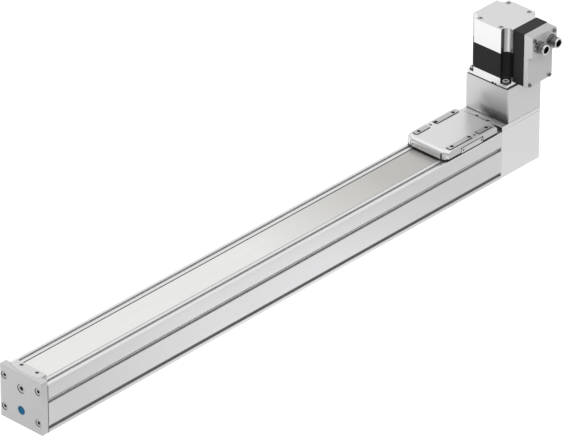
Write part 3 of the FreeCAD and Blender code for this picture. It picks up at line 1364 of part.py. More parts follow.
def make_control_board():
    wall = BOX_WALL + BOARD_GAP
    inset = wall + 2 * COVER_SCREW_INSET
    y0 = COVER_Y + 4
    return box(
        BOX_FRONT + wall, BOX_FRONT + BOX_WIDTH - wall, y0, y0 + BOARD_THICKNESS,
        BOX_LOW + inset, BOX_HIGH - inset,
    )


def make_electronics_cover():
    """The cover: a plate with a raised, rounded upper block that carries the connectors."""
    x1 = COVER_FRONT + COVER_WIDTH
    outline = [
        (COVER_Y, BOX_LOW), (COVER_FACE, BOX_LOW), (COVER_FACE, STEP_LOW),
        (STEP_FACE, STEP_LOW), (STEP_FACE, BOX_HIGH), (COVER_Y, BOX_HIGH),
    ]
    cover = prism([(COVER_FRONT, y, z) for y, z in outline], X * COVER_WIDTH)
    step_edges = [edge for edge in flat_edges(cover, Z, STEP_LOW) if edge.CenterOfMass.y > COVER_FACE - 1e-3]
    cover = cover.makeFillet(COVER_FILLET, [edge for edge in step_edges if edge.BoundBox.YLength < 1e-3])
    cover = cover.makeFillet(COVER_CORNER_R, cover_corner_edges(cover, x1))
    inner = [
        (COVER_Y, BOX_LOW + BOX_WALL), (COVER_FACE + COVER_WALL, BOX_LOW + BOX_WALL),
        (COVER_FACE + COVER_WALL, STEP_LOW + 1), (STEP_FACE + COVER_WALL, STEP_LOW + 4),
        (STEP_FACE + COVER_WALL, BOX_HIGH - BOX_WALL), (COVER_Y, BOX_HIGH - BOX_WALL),
    ]
    inset = 2 * COVER_SCREW_INSET + 1
    x_in = COVER_FRONT + inset
    cover = cover.cut(prism([(x_in, y, z) for y, z in inner], X * (COVER_WIDTH - 2 * inset)))
    for x, z in cover_screw_places():
        cover = cover.cut(rod(COVER_SCREW_R + 0.1, (x, STEP_FACE - 1, z), COVER_Y - STEP_FACE + 1, Y))
    for x in connector_places():
        cover = cover.cut(rod(CONNECTOR_NECK_R, (x, STEP_FACE, CONNECTOR_Z), COVER_WALL, Y))
    return cover


def cover_corner_edges(cover, x1):
    """The outer edges across the cover's thickness, at the two corners away from the slide and on top."""
    found = []
    for edge in cover.Edges:
        a, b = (v.Point for v in edge.Vertexes)
        across = abs(a.x - b.x) < 1e-6 and abs(a.z - b.z) < 1e-6
        if across and abs(a.x - x1) < 1e-3 and a.z > BOX_HIGH - 1e-3:
            found.append(edge)
    return found


def make_cover_screws():
    shapes = []
    for x, z in cover_screw_places():
        face = STEP_FACE if z > STEP_LOW else COVER_FACE
        length = COVER_Y - face + COVER_SCREW_BITE
        shapes.append(cap_screw(COVER_HEAD_R, COVER_HEAD_HEIGHT, COVER_SCREW_R, length, (x, face, z), Y))
    return group(shapes)


def connector_places():
    first = COVER_FRONT + CONNECTOR_FIRST
    return [first, first + CONNECTOR_PITCH]


def connector(x):
    """A round plug connector that points away from the cover: collar, barrel and socket."""
    start = (x, STEP_FACE, CONNECTOR_Z)
    shapes = [
        rod(CONNECTOR_COLLAR_R, start, CONNECTOR_COLLAR, -Y),
        rod(CONNECTOR_R, start, CONNECTOR_LENGTH, -Y),
        rod(CONNECTOR_NECK_R, start, COVER_WALL, Y),
    ]
    body = fused(shapes)
    mouth = (x, STEP_FACE - CONNECTOR_LENGTH, CONNECTOR_Z)
    return body.cut(rod(CONNECTOR_BORE_R, mouth, CONNECTOR_SOCKET, Y))


def contact_insert(x, contacts):
    """The insulator at the bottom of a connector's socket, with its ring of contact pins."""
    back = STEP_FACE - CONNECTOR_LENGTH + CONNECTOR_SOCKET
    insert = rod(CONNECTOR_BORE_R, (x, back, CONNECTOR_Z), INSERT_DEPTH, -Y)
    pins = []
    for i in range(contacts):
        angle = 2 * math.pi * i / contacts
        place = (
            x + CONTACT_CIRCLE_R * math.cos(angle), back - INSERT_DEPTH,
            CONNECTOR_Z + CONTACT_CIRCLE_R * math.sin(angle),
        )
        pins.append(rod(CONTACT_R, place, CONNECTOR_SOCKET - INSERT_DEPTH - CONTACT_RECESS, -Y))
    return fused([insert] + pins)


def make_power_connector():
    return connector(connector_places()[0])


def make_logic_connector():
    return connector(connector_places()[1])


def make_power_insert():
    return contact_insert(connector_places()[0], 4)


def make_logic_insert():
    return contact_insert(connector_places()[1], 5)


PARTS = {
    "profile": make_profile,
    "guide_rail": make_guide_rail,
    "rail_screws": make_rail_screws,
    "cover_strip": make_cover_strip,
    "toothed_belt": make_toothed_belt,
    "end_cap": make_end_cap,
    "end_cap_screws": make_end_cap_screws,
    "tension_screw": make_tension_screw,
    "port_plug": make_port_plug,
    "strip_clamp": make_strip_clamp,
    "strip_anchor": make_strip_anchor,
    "strip_clamp_screws": make_strip_clamp_screws,
    "idler_yoke": make_idler_yoke,
    "idler_axle": make_idler_axle,
    "idler_pulley": make_idler_pulley,
    "idler_bearings": make_idler_bearings,
    "stop_posts": make_stop_posts,
    "stop_buffers": make_stop_buffers,
    "slide_table": make_slide_table,
    "end_plates": make_end_plates,
    "slide_seal": make_slide_seal,
    "side_covers": make_side_covers,
    "side_cover_screws": make_side_cover_screws,
    "carriage_body": make_carriage_body,
    "carriage_screws": make_carriage_screws,
    "strip_lifters": make_strip_lifters,
    "ball_runner": make_ball_runner,
    "runner_end_caps": make_runner_end_caps,
    "runner_screws": make_runner_screws,
    "belt_clamp": make_belt_clamp,
    "belt_clamp_screws": make_belt_clamp_screws,
    "drive_head": make_drive_head,
    "head_top_plate": make_head_top_plate,
    "head_screws": make_head_screws,
    "head_strip_screws": make_head_strip_screws,
    "drive_bearings": make_drive_bearings,
    "drive_pulley": make_drive_pulley,
    "drive_shaft": make_drive_shaft,
    "coupling_housing": make_coupling_housing,
    "housing_screws": make_housing_screws,
    "pulley_hub": make_pulley_hub,
    "coupling_spider": make_coupling_spider,
    "motor_hub": make_motor_hub,
    "motor_gasket": make_motor_gasket,
    "motor_flange": make_motor_flange,
    "flange_screws": make_flange_screws,
    "motor_stator": make_motor_stator,
    "motor_rear_housing": make_motor_rear_housing,
    "motor_rear_screws": make_motor_rear_screws,
    "motor_bearings": make_motor_bearings,
    "motor_rotor": make_motor_rotor,
    "electronics_spacer": make_electronics_spacer,
    "control_board": make_control_board,
    "electronics_cover": make_electronics_cover,
    "cover_screws": make_cover_screws,
    "power_connector": make_power_connector,
    "logic_connector": make_logic_connector,
    "power_insert": make_power_insert,
    "logic_insert": make_logic_insert,
}

os.makedirs("parts", exist_ok=True)
for name, make in PARTS.items():
    make().exportStep(f"parts/{name}.step")
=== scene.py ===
"""Finishes and fine pieces of the belt driven linear axis, made round its solids, in metres."""

import json
import math

import bpy
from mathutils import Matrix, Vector


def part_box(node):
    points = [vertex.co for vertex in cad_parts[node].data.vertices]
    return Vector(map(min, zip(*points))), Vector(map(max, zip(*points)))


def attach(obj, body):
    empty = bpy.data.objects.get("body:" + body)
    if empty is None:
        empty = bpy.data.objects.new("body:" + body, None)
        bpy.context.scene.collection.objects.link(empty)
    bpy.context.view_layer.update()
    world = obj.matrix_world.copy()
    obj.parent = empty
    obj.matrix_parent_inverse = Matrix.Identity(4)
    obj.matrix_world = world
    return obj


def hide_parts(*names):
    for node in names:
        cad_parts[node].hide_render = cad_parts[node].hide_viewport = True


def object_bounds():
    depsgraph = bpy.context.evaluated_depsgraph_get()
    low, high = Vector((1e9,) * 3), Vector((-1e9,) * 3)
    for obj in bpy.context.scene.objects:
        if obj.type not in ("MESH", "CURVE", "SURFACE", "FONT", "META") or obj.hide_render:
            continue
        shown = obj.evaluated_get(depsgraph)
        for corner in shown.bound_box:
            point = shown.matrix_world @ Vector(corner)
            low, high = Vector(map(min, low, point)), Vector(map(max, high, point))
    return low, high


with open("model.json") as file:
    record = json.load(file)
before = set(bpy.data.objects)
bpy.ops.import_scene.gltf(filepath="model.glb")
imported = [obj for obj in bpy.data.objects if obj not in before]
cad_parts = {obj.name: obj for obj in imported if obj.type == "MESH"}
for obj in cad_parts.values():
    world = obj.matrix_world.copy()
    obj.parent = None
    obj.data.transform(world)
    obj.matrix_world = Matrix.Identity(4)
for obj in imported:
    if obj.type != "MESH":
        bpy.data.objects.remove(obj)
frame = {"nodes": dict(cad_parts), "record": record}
cad_low, cad_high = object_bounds()

MM = 0.001

BODY_OF = {
    node: body
    for body, nodes in frame["record"]["behaviour"]["bodies"].items()
    for node in nodes
}
SLOT_OF = {row["node"]: row["material_slot"] for row in frame["record"]["subparts"]}

# Modelling limits, with angles in degrees
WELD = 0.001 * MM
TOUCHING = 0.01 * MM
FLAT_ANGLE = 0.5
FACE_WEIGHT = 100
SMOOTH_ANGLE = 35
SHARP_ANGLE = 40
EDGE_SEGMENTS = 3

# Cover strip and the room it needs through the carriage
STRIP_THICKNESS = 0.3 * MM
STRIP_EDGE_ROUND = 0.08 * MM
STRIP_ROOM = 0.12 * MM
SLIT_REACH = 1.0 * MM
SLIT_EDGE_ROUND = 0.2 * MM
THIN_EDGE_SEGMENTS = 2

# Grain of every finish
GRAIN_DETAIL = 5.0
GRAIN_DARK = 0.3
GRAIN_LIGHT = 0.7
ROUGHNESS_LOW = 0.85
ROUGHNESS_HIGH = 1.15
RELIEF_DEPTH = 0.05 * MM
WARM_BLACK = (1, 0.98, 0.96)

# Tones that finishes take in places. Most are painted shade in gaps, holes, grooves, seams and sockets,
# or painted light, shade and reflections on faces; the pad tops and the connector barrels are set darker.
# Each is a grey from black (0) to white (1) and rows of (axis, place, near, far) in millimetres. A row holds
# up to the near distance from its place and fades out at the far one, or the other way round where near is
# the larger. A tone shows where all its rows hold, over those before it.
# Greys of the painted shade in gaps and holes, in sockets, in the drive head's gaps and on slot lips
GAP_PAINTED_SHADE = 0.05
SOCKET_PAINTED_SHADE = 0.06
HEAD_GAP_PAINTED_SHADE = 0.10
LIP_PAINTED_SHADE = 0.16
# Painted light on the profile's top rims and in the depth of its slots; painted shade beside the rim grooves,
# in the strip seat, in the rim grooves and inside, on the slot lips, in the foot grooves and at the end cap
# seam
PROFILE_PAINTED_LIGHT_AND_SHADE = {
    "rims": (0.84, [("Z", 58, 0.6, 0.75)]),
    "rims beside their grooves": (0.48, [("Y", 0, 26.0, 26.8), ("Y", 0, 23.1, 22.4), ("Z", 58, 0.6, 0.75)]),
    "strip seat": (GAP_PAINTED_SHADE, [("Y", 0, 19.15, 19.3), ("Z", 50, 7.7, 7.9)]),
    "rim grooves and inside": (0.72, [("Y", 0, 25.5, 29.2), ("Z", 0, 57.2, 57.8)]),
    "depth of the slots": (1.0, [("Y", 0, 25.5, 29.2), ("Z", 34.9, 9.0, 9.5)]),
    "lips of the slots": (LIP_PAINTED_SHADE, [("Y", 0, 28.5, 28.9), ("Y", 0, 27.8, 26.2), ("Z", 34.9, 1.9, 2.0)]),
    "foot grooves": (0.22, [("Y", 0, 29.3, 29.7), ("Z", 2.2, 1.0, 4.8)]),
    "seam at the end cap": (LIP_PAINTED_SHADE, [("X", -351.6, 0.7, 0.9), ("Z", 20, 36.6, 37.0)]),
}
# Painted shade on the strip near the drive head, standing for the slide's reflection, warmed a little, and
# painted shade along both edges of the strip, darker at the far one
STRIP_SHADE = {"near the drive head": (0.59, [("X", 320, 120, 335)])}
STRIP_WARMTH = 0.06
STRIP_EDGE_PAINTED_SHADE = {
    "near edge": (0.60, [("Y", 50, 68.35, 68.2)]),
    "far edge": (0.05, [("Y", -50, 67.75, 67.55)]),
}
# The pad tops are set darker. The rest is painted shade: on the long sides, on the pad walls, in the gap over
# the side covers, along the foot of the near side, in the corner seams and in the holes
TABLE_TONES_AND_PAINTED_SHADE = {
    "pads": (0.60, [("Z", 71.0, 0.22, 0.26)]),
    "long sides": (0.62, [("Y", 0, 29.85, 29.7)]),
    "pad walls": (GAP_PAINTED_SHADE, [("Z", 70.4, 0.26, 0.34)]),
    "gap over the side covers": (GAP_PAINTED_SHADE, [
        ("X", 302.35, 18.1, 18.3), ("Y", 0, 30.3, 30.4), ("Z", 60, 7.1, 7.3),
    ]),
    "foot of the near side": (GAP_PAINTED_SHADE, [("Z", 59.6, 1.8, 2.1), ("Y", -30, 2.0, 3.0)]),
    "corner seams": (GAP_PAINTED_SHADE, [("X", 303.8, 41.5, 40.5), ("Y", -22, 0.8, 0.95), ("Z", 60, 6.4, 7.4)]),
    "holes": (GAP_PAINTED_SHADE, [("X", 303.8, 36.4, 37.0), ("Y", 0, 28.3, 28.7), ("Z", 0, 69.5, 69.9)]),
}
# Painted shade in the drive head's holes and in the gap above the profile
HEAD_PAINTED_SHADE = {
    "holes": (HEAD_GAP_PAINTED_SHADE, [
        ("X", 383.3, 30.9, 31.4), ("Y", 0, 29.0, 29.5), ("Z", 32.15, 31.5, 31.9),
    ]),
    "gap at the profile": (HEAD_GAP_PAINTED_SHADE, [
        ("X", 340, 11.9, 12.1), ("Z", 61, 3.0, 3.2), ("Y", 0, 29.6, 29.8),
    ]),
}
# Painted shade in the seam on the drive head, and a painted reflection of the slide on the housing's face
# over it, darkest at its foot
BLOCK_PAINTED_SHADE_AND_REFLECTION = {
    "seam on the head": (HEAD_GAP_PAINTED_SHADE, [("X", 350, 11.8, 11.9), ("Z", 64.3, 0.9, 1.0)]),
    "face over the slide": (0.40, [("X", 360, 1.6, 1.8), ("Y", -24, 10, 34), ("Z", 64.5, 6, 34)]),
    "foot of that face": (0.06, [("X", 360, 1.6, 1.8), ("Y", -24, 17, 36), ("Z", 64.5, 3, 14)]),
}
# Painted shade in the end cap's holes
CAP_PAINTED_SHADE = {
    "holes": (GAP_PAINTED_SHADE, [("X", -352, 8.2, 8.4), ("Y", 0, 29.2, 29.5), ("Z", 29, 27.6, 27.9)]),
}
# A painted reflection and shade in the motor's near corner scoop, and painted shade in the flange's screw
# pockets
MOTOR_PAINTED_SHADE_AND_REFLECTION = {
    "corner scoop": (0.12, [
        ("X", 387.2, 28.05, 28.15), ("X", 361, 3.2, 4.8), ("Y", -23.2, 4.85, 4.95), ("Z", 164, 14.4, 14.6),
    ]),
    "screw pockets": (SOCKET_PAINTED_SHADE, [
        ("X", 387.2, 28.05, 28.15), ("Y", 0, 28.05, 28.15), ("X", 387.2, 18.2, 17.8), ("Y", 0, 18.2, 17.8),
        ("Z", 115.6, 3.0, 3.15),
    ]),
}
# Painted light on the cover's side face and painted shade on its top
COVER_PAINTED_LIGHT_AND_SHADE = {
    "side": (0.78, [("X", 369.0, 0.7, 0.9)]),
    "top": (0.58, [("Z", 178.5, 0.7, 0.9)]),
}
CONNECTOR_TONES = {"barrel": (0.22, [("Y", -61.5, 5.0, 5.2)])}
# Painted shade in the screws' sockets and on the sides of their heads
CAP_SCREW_PAINTED_SHADE = {"sockets and sides": (SOCKET_PAINTED_SHADE, [("X", -350, 9.6, 9.7)])}
FLANGE_SCREW_PAINTED_SHADE = {"sockets and sides": (SOCKET_PAINTED_SHADE, [("Z", 100, 15.45, 15.55)])}
REAR_SCREW_PAINTED_SHADE = {"sockets and sides": (SOCKET_PAINTED_SHADE, [("Z", 140, 38.7, 38.8)])}

# Electronics cover
COVER_PLATE = 6.3 * MM
COVER_HEAD_HEIGHT = 27.0 * MM
COVER_CORNER = 5.0 * MM
COVER_CORNER_SEGMENTS = 8
COVER_FILLET = 2.6 * MM
COVER_FILLET_SEGMENTS = 5
COVER_EDGE_ROUND = 0.7 * MM
COVER_SHARP_ANGLE = 50
FACING = 0.9

# Round connectors, as rings of (radius, height) in millimetres from the cover's face outwards
CONNECTOR_FOOT = [(4.9, -2.0), (4.9, 0), (7.2, 0), (7.2, 3.4), (6.9, 4.0), (6.3, 4.2), (5.55, 4.2)]
CONNECTOR_MOUTH = [(6.0, 10.8), (6.0, 11.9), (5.6, 12.3), (4.5, 12.3), (4.2, 12.0), (4.2, 2.8)]
CONNECTOR_LENGTH = 12.3
CONNECTOR_SIDES = 64
CONNECTOR_SMOOTH_ANGLE = 30
THREAD_START = 4.7
THREAD_TURNS = 6
THREAD_PITCH = 1.0
THREAD_FORM = [(5.55, 0.1), (6.0, 0.45), (6.0, 0.6), (5.55, 0.95)]

# Studio. Rows give a place, in metres or as a direction, and the brightness that is mirrored from there.
FLOOR_SIZE = 60
FLOOR_GREY = 0.35
FLOOR_GLOW = 0.90
FLOOR_ACROSS = ((-0.40, 0.50), (-0.03, 0.58), (0.12, 0.72))
FLOOR_ALONG = ((-0.42, 0.90), (-0.28, 0.94), (-0.08, 1.38), (0.10, 1.40), (0.28, 1.00), (0.45, 1.0))
FLOOR_BESIDE = ((0.30, 0.15), (0.38, 1))
FLOOR_BEHIND = ((-0.16, 0.15), (-0.11, 1))
SKY_UP = ((0.0, 0.90), (0.52, 0.78), (0.66, 1.08), (1.0, 1.08))
SKY_SIDE = ((-0.60, 0.50), (-0.40, 1))
SKY_ABOVE = ((0.56, 0.50), (0.68, 1))
SKY_LIGHT = 0.55
KEY_PLACE = (-1.5, -2.0, 2.6)
KEY_SIZE = 1.6
KEY_POWER = 60

# Camera, with its focal length in pixels of an image this wide
IMAGE_WIDTH = 562
FOCAL_PIXELS = 6486.6
SENSOR = 36.0
VIEW_AZIMUTH = math.radians(-47.079)
VIEW_ELEVATION = math.radians(30.742)
VIEW_DISTANCE = 6.962
VIEW_TARGET = Vector((0.08895, 0.05451, 0.030))


# Modelling helpers

def make_active(piece):
    """Leaves this piece alone selected, in object mode."""
    if bpy.context.object and bpy.context.object.mode != "OBJECT":
        bpy.ops.object.mode_set(mode="OBJECT")
    bpy.ops.object.select_all(action="DESELECT")
    piece.select_set(True)
    bpy.context.view_layer.objects.active = piece


def apply_modifier(piece, kind, **settings):
    """Adds a modifier with these settings and applies it."""
    make_active(piece)
    modifier = piece.modifiers.new(kind.lower(), kind)
    for key, value in settings.items():
        setattr(modifier, key, value)
    bpy.ops.object.modifier_apply(modifier=modifier.name)


def select_faces(piece, chosen):
    """Selects the faces whose centre and normal pass the test, and stays in edit mode."""
    make_active(piece)
    bpy.ops.object.mode_set(mode="EDIT")
    bpy.ops.mesh.select_mode(type="FACE")
    bpy.ops.mesh.select_all(action="DESELECT")
    bpy.ops.object.mode_set(mode="OBJECT")
    for face in piece.data.polygons:
        face.select = chosen(face.center, face.normal)
    bpy.ops.object.mode_set(mode="EDIT")


def select_edges(piece, chosen):
    """Selects the edges whose two ends pass the test, and stays in edit mode."""
    make_active(piece)
    bpy.ops.object.mode_set(mode="EDIT")
    bpy.ops.mesh.select_mode(type="EDGE")
    bpy.ops.mesh.select_all(action="DESELECT")
    bpy.ops.object.mode_set(mode="OBJECT")
    points = piece.data.vertices
    for edge in piece.data.edges:
        a, b = (points[i].co for i in edge.vertices)
        edge.select = chosen(a, b)
    bpy.ops.object.mode_set(mode="EDIT")


def block(name, low, high):
    """A plain block between two corners."""
    centre = (low + high) / 2
    bpy.ops.object.select_all(action="DESELECT")
    bpy.ops.mesh.primitive_cube_add(size=1, location=centre)
    piece = bpy.context.object
    piece.name = name
    piece.scale = high - low
    bpy.ops.object.transform_apply(location=True, rotation=True, scale=True)
    return piece


def put(piece, at, towards):
    """Turns a piece that was made upright at the origin towards a direction, and sets it in place."""
    make_active(piece)
    piece.rotation_euler = Vector(towards).to_track_quat("Z", "Y").to_euler()
    piece.location = at
    bpy.ops.object.transform_apply(location=True, rotation=True, scale=True)


def raised(name, rings, sides):
    """A round piece drawn up ring by ring. rings are (radius, height) in millimetres, from its foot up."""
    radius, height = rings[0]
    bpy.ops.object.select_all(action="DESELECT")
    bpy.ops.mesh.primitive_circle_add(
        vertices=sides, radius=radius * MM, fill_type="NGON", location=(0, 0, height * MM)
    )
    piece = bpy.context.object
    piece.name = name
    bpy.ops.object.transform_apply(location=True, rotation=True, scale=True)
    bpy.ops.object.mode_set(mode="EDIT")
    bpy.ops.mesh.select_all(action="SELECT")
    for next_radius, next_height in rings[1:]:
        rise = (next_height - height) * MM
        bpy.ops.mesh.extrude_region_move(TRANSFORM_OT_translate={"value": (0, 0, rise)})
        share = next_radius / radius
        bpy.ops.transform.resize(value=(share, share, 1), center_override=(0, 0, next_height * MM))
        radius, height = next_radius, next_height
    bpy.ops.mesh.select_all(action="SELECT")
    bpy.ops.mesh.normals_make_consistent(inside=False)
    bpy.ops.object.mode_set(mode="OBJECT")
    return piece


def cut(piece, cutter):
    """Takes the cutter's shape out of the piece."""
    apply_modifier(piece, "BOOLEAN", operation="DIFFERENCE", solver="EXACT", object=cutter)
    bpy.data.objects.remove(cutter)
    make_active(piece)


def smooth(piece, angle=SMOOTH_ANGLE):
    """Shades round faces smooth, and lets large flat faces stay flat beside them."""
    make_active(piece)
    bpy.ops.object.shade_smooth_by_angle(angle=math.radians(angle))
    apply_modifier(piece, "WEIGHTED_NORMAL", weight=FACE_WEIGHT, keep_sharp=True)


def round_edges(piece, width, segments=EDGE_SEGMENTS, angle=SHARP_ANGLE):
    """Rounds every edge sharper than an angle."""
    apply_modifier(
        piece, "BEVEL", width=width, segments=segments, limit_method="ANGLE",
        angle_limit=math.radians(angle), use_clamp_overlap=False, miter_outer="MITER_ARC",
    )


def merged_copy(node):
    """A copy of a solid with its triangles joined and its flat faces whole."""
    piece = bpy.data.objects.new(node + "_fine", frame["nodes"][node].data.copy())
    bpy.context.scene.collection.objects.link(piece)
    make_active(piece)
    bpy.ops.object.mode_set(mode="EDIT")
    bpy.ops.mesh.select_all(action="SELECT")
    bpy.ops.mesh.remove_doubles(threshold=WELD)
    bpy.ops.mesh.dissolve_limited(angle_limit=math.radians(FLAT_ANGLE))
    bpy.ops.object.mode_set(mode="OBJECT")
    return piece


def softened(node, width):
    """A copy of a solid with its sharp edges rounded."""
    piece = merged_copy(node)
    round_edges(piece, width * MM)
    smooth(piece)
    return piece


def dress(piece, node, material):
    """Gives a piece its finish and lets it stand for a solid, on the same body."""
    piece.data.materials.clear()
    piece.data.materials.append(material)
    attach(piece, BODY_OF[node])
    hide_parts(node)


# Finishes

def combined(nodes, links, operation, first, second):
    """Two outputs joined by a sum of the named kind."""
    joint = nodes.new("ShaderNodeMath")
    joint.operation = operation
    links.new(first, joint.inputs[0])
    links.new(second, joint.inputs[1])
    return joint.outputs[0]


def coordinates(nodes, links, kind):
    """The X, Y and Z of a place on the surface, or of a direction in the sky."""
    place = nodes.new("ShaderNodeTexCoord")
    split = nodes.new("ShaderNodeSeparateXYZ")
    links.new(place.outputs[kind], split.inputs[0])
    return split.outputs


def grained(
    name, colour, metallic, roughness, grain,
    stretch=(1, 1, 1), contrast=0.05, relief=0.15, gloss=0.5,
):
    """A surface whose tone, roughness and relief follow a fine grain, drawn out where it is stretched."""
    material = bpy.data.materials.new(name)
    material.use_nodes = True
    nodes = material.node_tree.nodes
    links = material.node_tree.links
    shader = nodes["Principled BSDF"]
    shader.inputs["Metallic"].default_value = metallic
    shader.inputs["Specular IOR Level"].default_value = gloss
    place = nodes.new("ShaderNodeTexCoord")
    mapping = nodes.new("ShaderNodeMapping")
    mapping.inputs["Scale"].default_value = stretch
    noise = nodes.new("ShaderNodeTexNoise")
    noise.inputs["Scale"].default_value = grain
    noise.inputs["Detail"].default_value = GRAIN_DETAIL
    greys = nodes.new("ShaderNodeValToRGB")
    dark, light = greys.color_ramp.elements
    dark.position = GRAIN_DARK
    light.position = GRAIN_LIGHT
    dark.color = [c * (1 - contrast) for c in colour] + [1]
    light.color = [min(1, c * (1 + contrast)) for c in colour] + [1]
    spread = nodes.new("ShaderNodeMapRange")
    spread.inputs["To Min"].default_value = roughness * ROUGHNESS_LOW
    spread.inputs["To Max"].default_value = min(1, roughness * ROUGHNESS_HIGH)
    bump = nodes.new("ShaderNodeBump")
    bump.inputs["Strength"].default_value = relief
    bump.inputs["Distance"].default_value = RELIEF_DEPTH
    links.new(place.outputs["Object"], mapping.inputs["Vector"])
    links.new(mapping.outputs["Vector"], noise.inputs["Vector"])
    links.new(noise.outputs["Fac"], greys.inputs["Fac"])
    links.new(noise.outputs["Fac"], spread.inputs["Value"])
    links.new(noise.outputs["Fac"], bump.inputs["Height"])
    links.new(greys.outputs["Color"], shader.inputs["Base Color"])
    links.new(spread.outputs["Result"], shader.inputs["Roughness"])
    links.new(bump.outputs["Normal"], shader.inputs["Normal"])
    return material


def axis_mask(nodes, links, axis, centre, near, far):
    """0 up to the near distance from a place on an axis, and 1 from the far distance on, in millimetres."""
    offset = nodes.new("ShaderNodeMath")
    offset.operation = "SUBTRACT"
    offset.inputs[1].default_value = centre * MM
    distance = nodes.new("ShaderNodeMath")
    distance.operation = "ABSOLUTE"
    share = nodes.new("ShaderNodeMapRange")
    share.inputs["From Min"].default_value = near * MM
    share.inputs["From Max"].default_value = far * MM
    links.new(coordinates(nodes, links, "Object")[axis], offset.inputs[0])
    links.new(offset.outputs[0], distance.inputs[0])
    links.new(distance.outputs[0], share.inputs["Value"])
    return share.outputs["Result"]


def painted_light_and_tones(material, tones, warmth=0.0):
    """Lays tones over a finish, each where its rows hold: mostly painted light and shade, and a few plain
    greys. Warmth takes blue out of them.
    """
    nodes = material.node_tree.nodes
    links = material.node_tree.links
    base = nodes["Principled BSDF"].inputs["Base Color"]
    for tone, rows in tones.values():
        outside = axis_mask(nodes, links, *rows[0])
        for row in rows[1:]:
            outside = combined(nodes, links, "MAXIMUM", outside, axis_mask(nodes, links, *row))
        blend = nodes.new("ShaderNodeMix")
        blend.data_type = "RGBA"
        blend.inputs["A"].default_value = (tone, tone * (1 - warmth / 3), tone * (1 - warmth), 1)
        links.new(outside, blend.inputs["Factor"])
        links.new(base.links[0].from_socket, blend.inputs["B"])
        links.new(blend.outputs["Result"], base)
    return material


def extruded_aluminium():
    """Clear anodised, with the faint lines that a die leaves along the profile."""
    finish = grained(
        "extruded_aluminium", (0.74, 0.74, 0.75), metallic=0.85, roughness=0.34, grain=900,
        stretch=(0.012, 1, 1), contrast=0.03, relief=0.05,
    )
    # Lays the profile's painted light and shade over the anodised finish
    return painted_light_and_tones(finish, PROFILE_PAINTED_LIGHT_AND_SHADE)


def blasted_aluminium(name, grey):
    """Clear anodised over a fine blasted surface."""
    return grained(
        name, (grey, grey, grey), metallic=0.80, roughness=0.42, grain=2600, contrast=0.025, relief=0.08
    )


def smooth_aluminium(name, grey):
    """Milled smooth along the travel, and anodised."""
    return grained(
        name, (grey, grey, grey), metallic=0.85, roughness=0.30, grain=1500,
        stretch=(0.25, 1, 1), contrast=0.02, relief=0.04,
    )


def stainless_band():
    """The cover strip, rolled thin, with long fine lines."""
    finish = grained(
        "stainless_band", (0.91, 0.91, 0.89), metallic=0.95, roughness=0.30, grain=1600,
        stretch=(0.006, 1, 1), contrast=0.03, relief=0.03,
    )
    # Lays the painted shade near the drive head and along the edges over the strip
    return painted_light_and_tones(painted_light_and_tones(finish, STRIP_SHADE, STRIP_WARMTH), STRIP_EDGE_PAINTED_SHADE)


def ground_steel():
    """Guide rail, runner, shafts and bearings."""
    return grained(
        "ground_steel", (0.60, 0.60, 0.61), metallic=1.0, roughness=0.25, grain=2000,
        stretch=(0.05, 1, 1), contrast=0.05, relief=0.05,
    )


def dark_steel():
    """Blackened screws."""
    return grained(
        "dark_steel", (0.09, 0.09, 0.095), metallic=0.9, roughness=0.30, grain=3000, contrast=0.12, relief=0.1
    )


def dull_steel():
    """The electronics cover's screws."""
    return grained(
        "dull_steel", (0.22, 0.22, 0.22), metallic=1.0, roughness=0.30, grain=2500, contrast=0.08, relief=0.1
    )


def screw_steel(name, grey, tones):
    """Plated steel with painted shade inside the sockets and on the sides of the heads."""
    finish = grained(
        name, (grey, grey, grey), metallic=0.4, roughness=0.40, grain=2500, contrast=0.08, relief=0.1
    )
    return painted_light_and_tones(finish, tones)


def cast_silver():
    """The motor's flange and rear housing."""
    finish = grained(
        "cast_silver", (0.83, 0.83, 0.83), metallic=0.85, roughness=0.20, grain=2200,
        contrast=0.02, relief=0.04,
    )
    # Lays the painted reflection and shade in the scoop and pockets over the cast finish
    return painted_light_and_tones(finish, MOTOR_PAINTED_SHADE_AND_REFLECTION)


def black_lacquer(name, grey):
    """The motor's stator and the electronics spacer."""
    return grained(
        name, [grey * share for share in WARM_BLACK], metallic=0.0, roughness=0.42, grain=1800,
        contrast=0.12, relief=0.12, gloss=0.2,
    )


def silver_lacquer():
    """The electronics cover."""
    finish = grained(
        "silver_lacquer", (0.66, 0.66, 0.66), metallic=0.35, roughness=0.40, grain=2400,
        contrast=0.04, relief=0.12,
    )
    # Lays the painted light on the side and the painted shade on the top over the lacquer
    return painted_light_and_tones(finish, COVER_PAINTED_LIGHT_AND_SHADE)


def nickel():
    """The round connectors."""
    finish = grained(
        "nickel", (0.75, 0.75, 0.75), metallic=1.0, roughness=0.16, grain=1800, contrast=0.06, relief=0.05
    )
    return painted_light_and_tones(finish, CONNECTOR_TONES)


def black_plastic():
    """Seal frame, strip lifters, runner ends and connector inserts."""
    return grained(
        "moulded_black", (0.010, 0.010, 0.010), metallic=0.0, roughness=0.50, grain=2500,
        contrast=0.15, relief=0.15, gloss=0.15,
    )


def black_rubber():
    """Belt, stop buffers and the motor's gasket."""
    return grained(
        "black_rubber", (0.012, 0.012, 0.012), metallic=0.0, roughness=0.65, grain=2000,
        contrast=0.2, relief=0.25, gloss=0.15,
    )


def blue_plastic():
    """The closed port plug."""
    return grained(
        "blue_plastic", (0.0, 0.17, 0.36), metallic=0.0, roughness=0.40, grain=2200,
        contrast=0.06, relief=0.05, gloss=0.3,
    )


def red_elastomer():
    """The coupling's spider."""
    return grained(
        "red_elastomer", (0.42, 0.04, 0.03), metallic=0.0, roughness=0.5, grain=1800,
        contrast=0.08, relief=0.1,
    )


def circuit_board():
    """The motor's control board."""
    return grained(
        "circuit_board", (0.02, 0.13, 0.06), metallic=0.0, roughness=0.4, grain=700, contrast=0.2, relief=0.1
    )


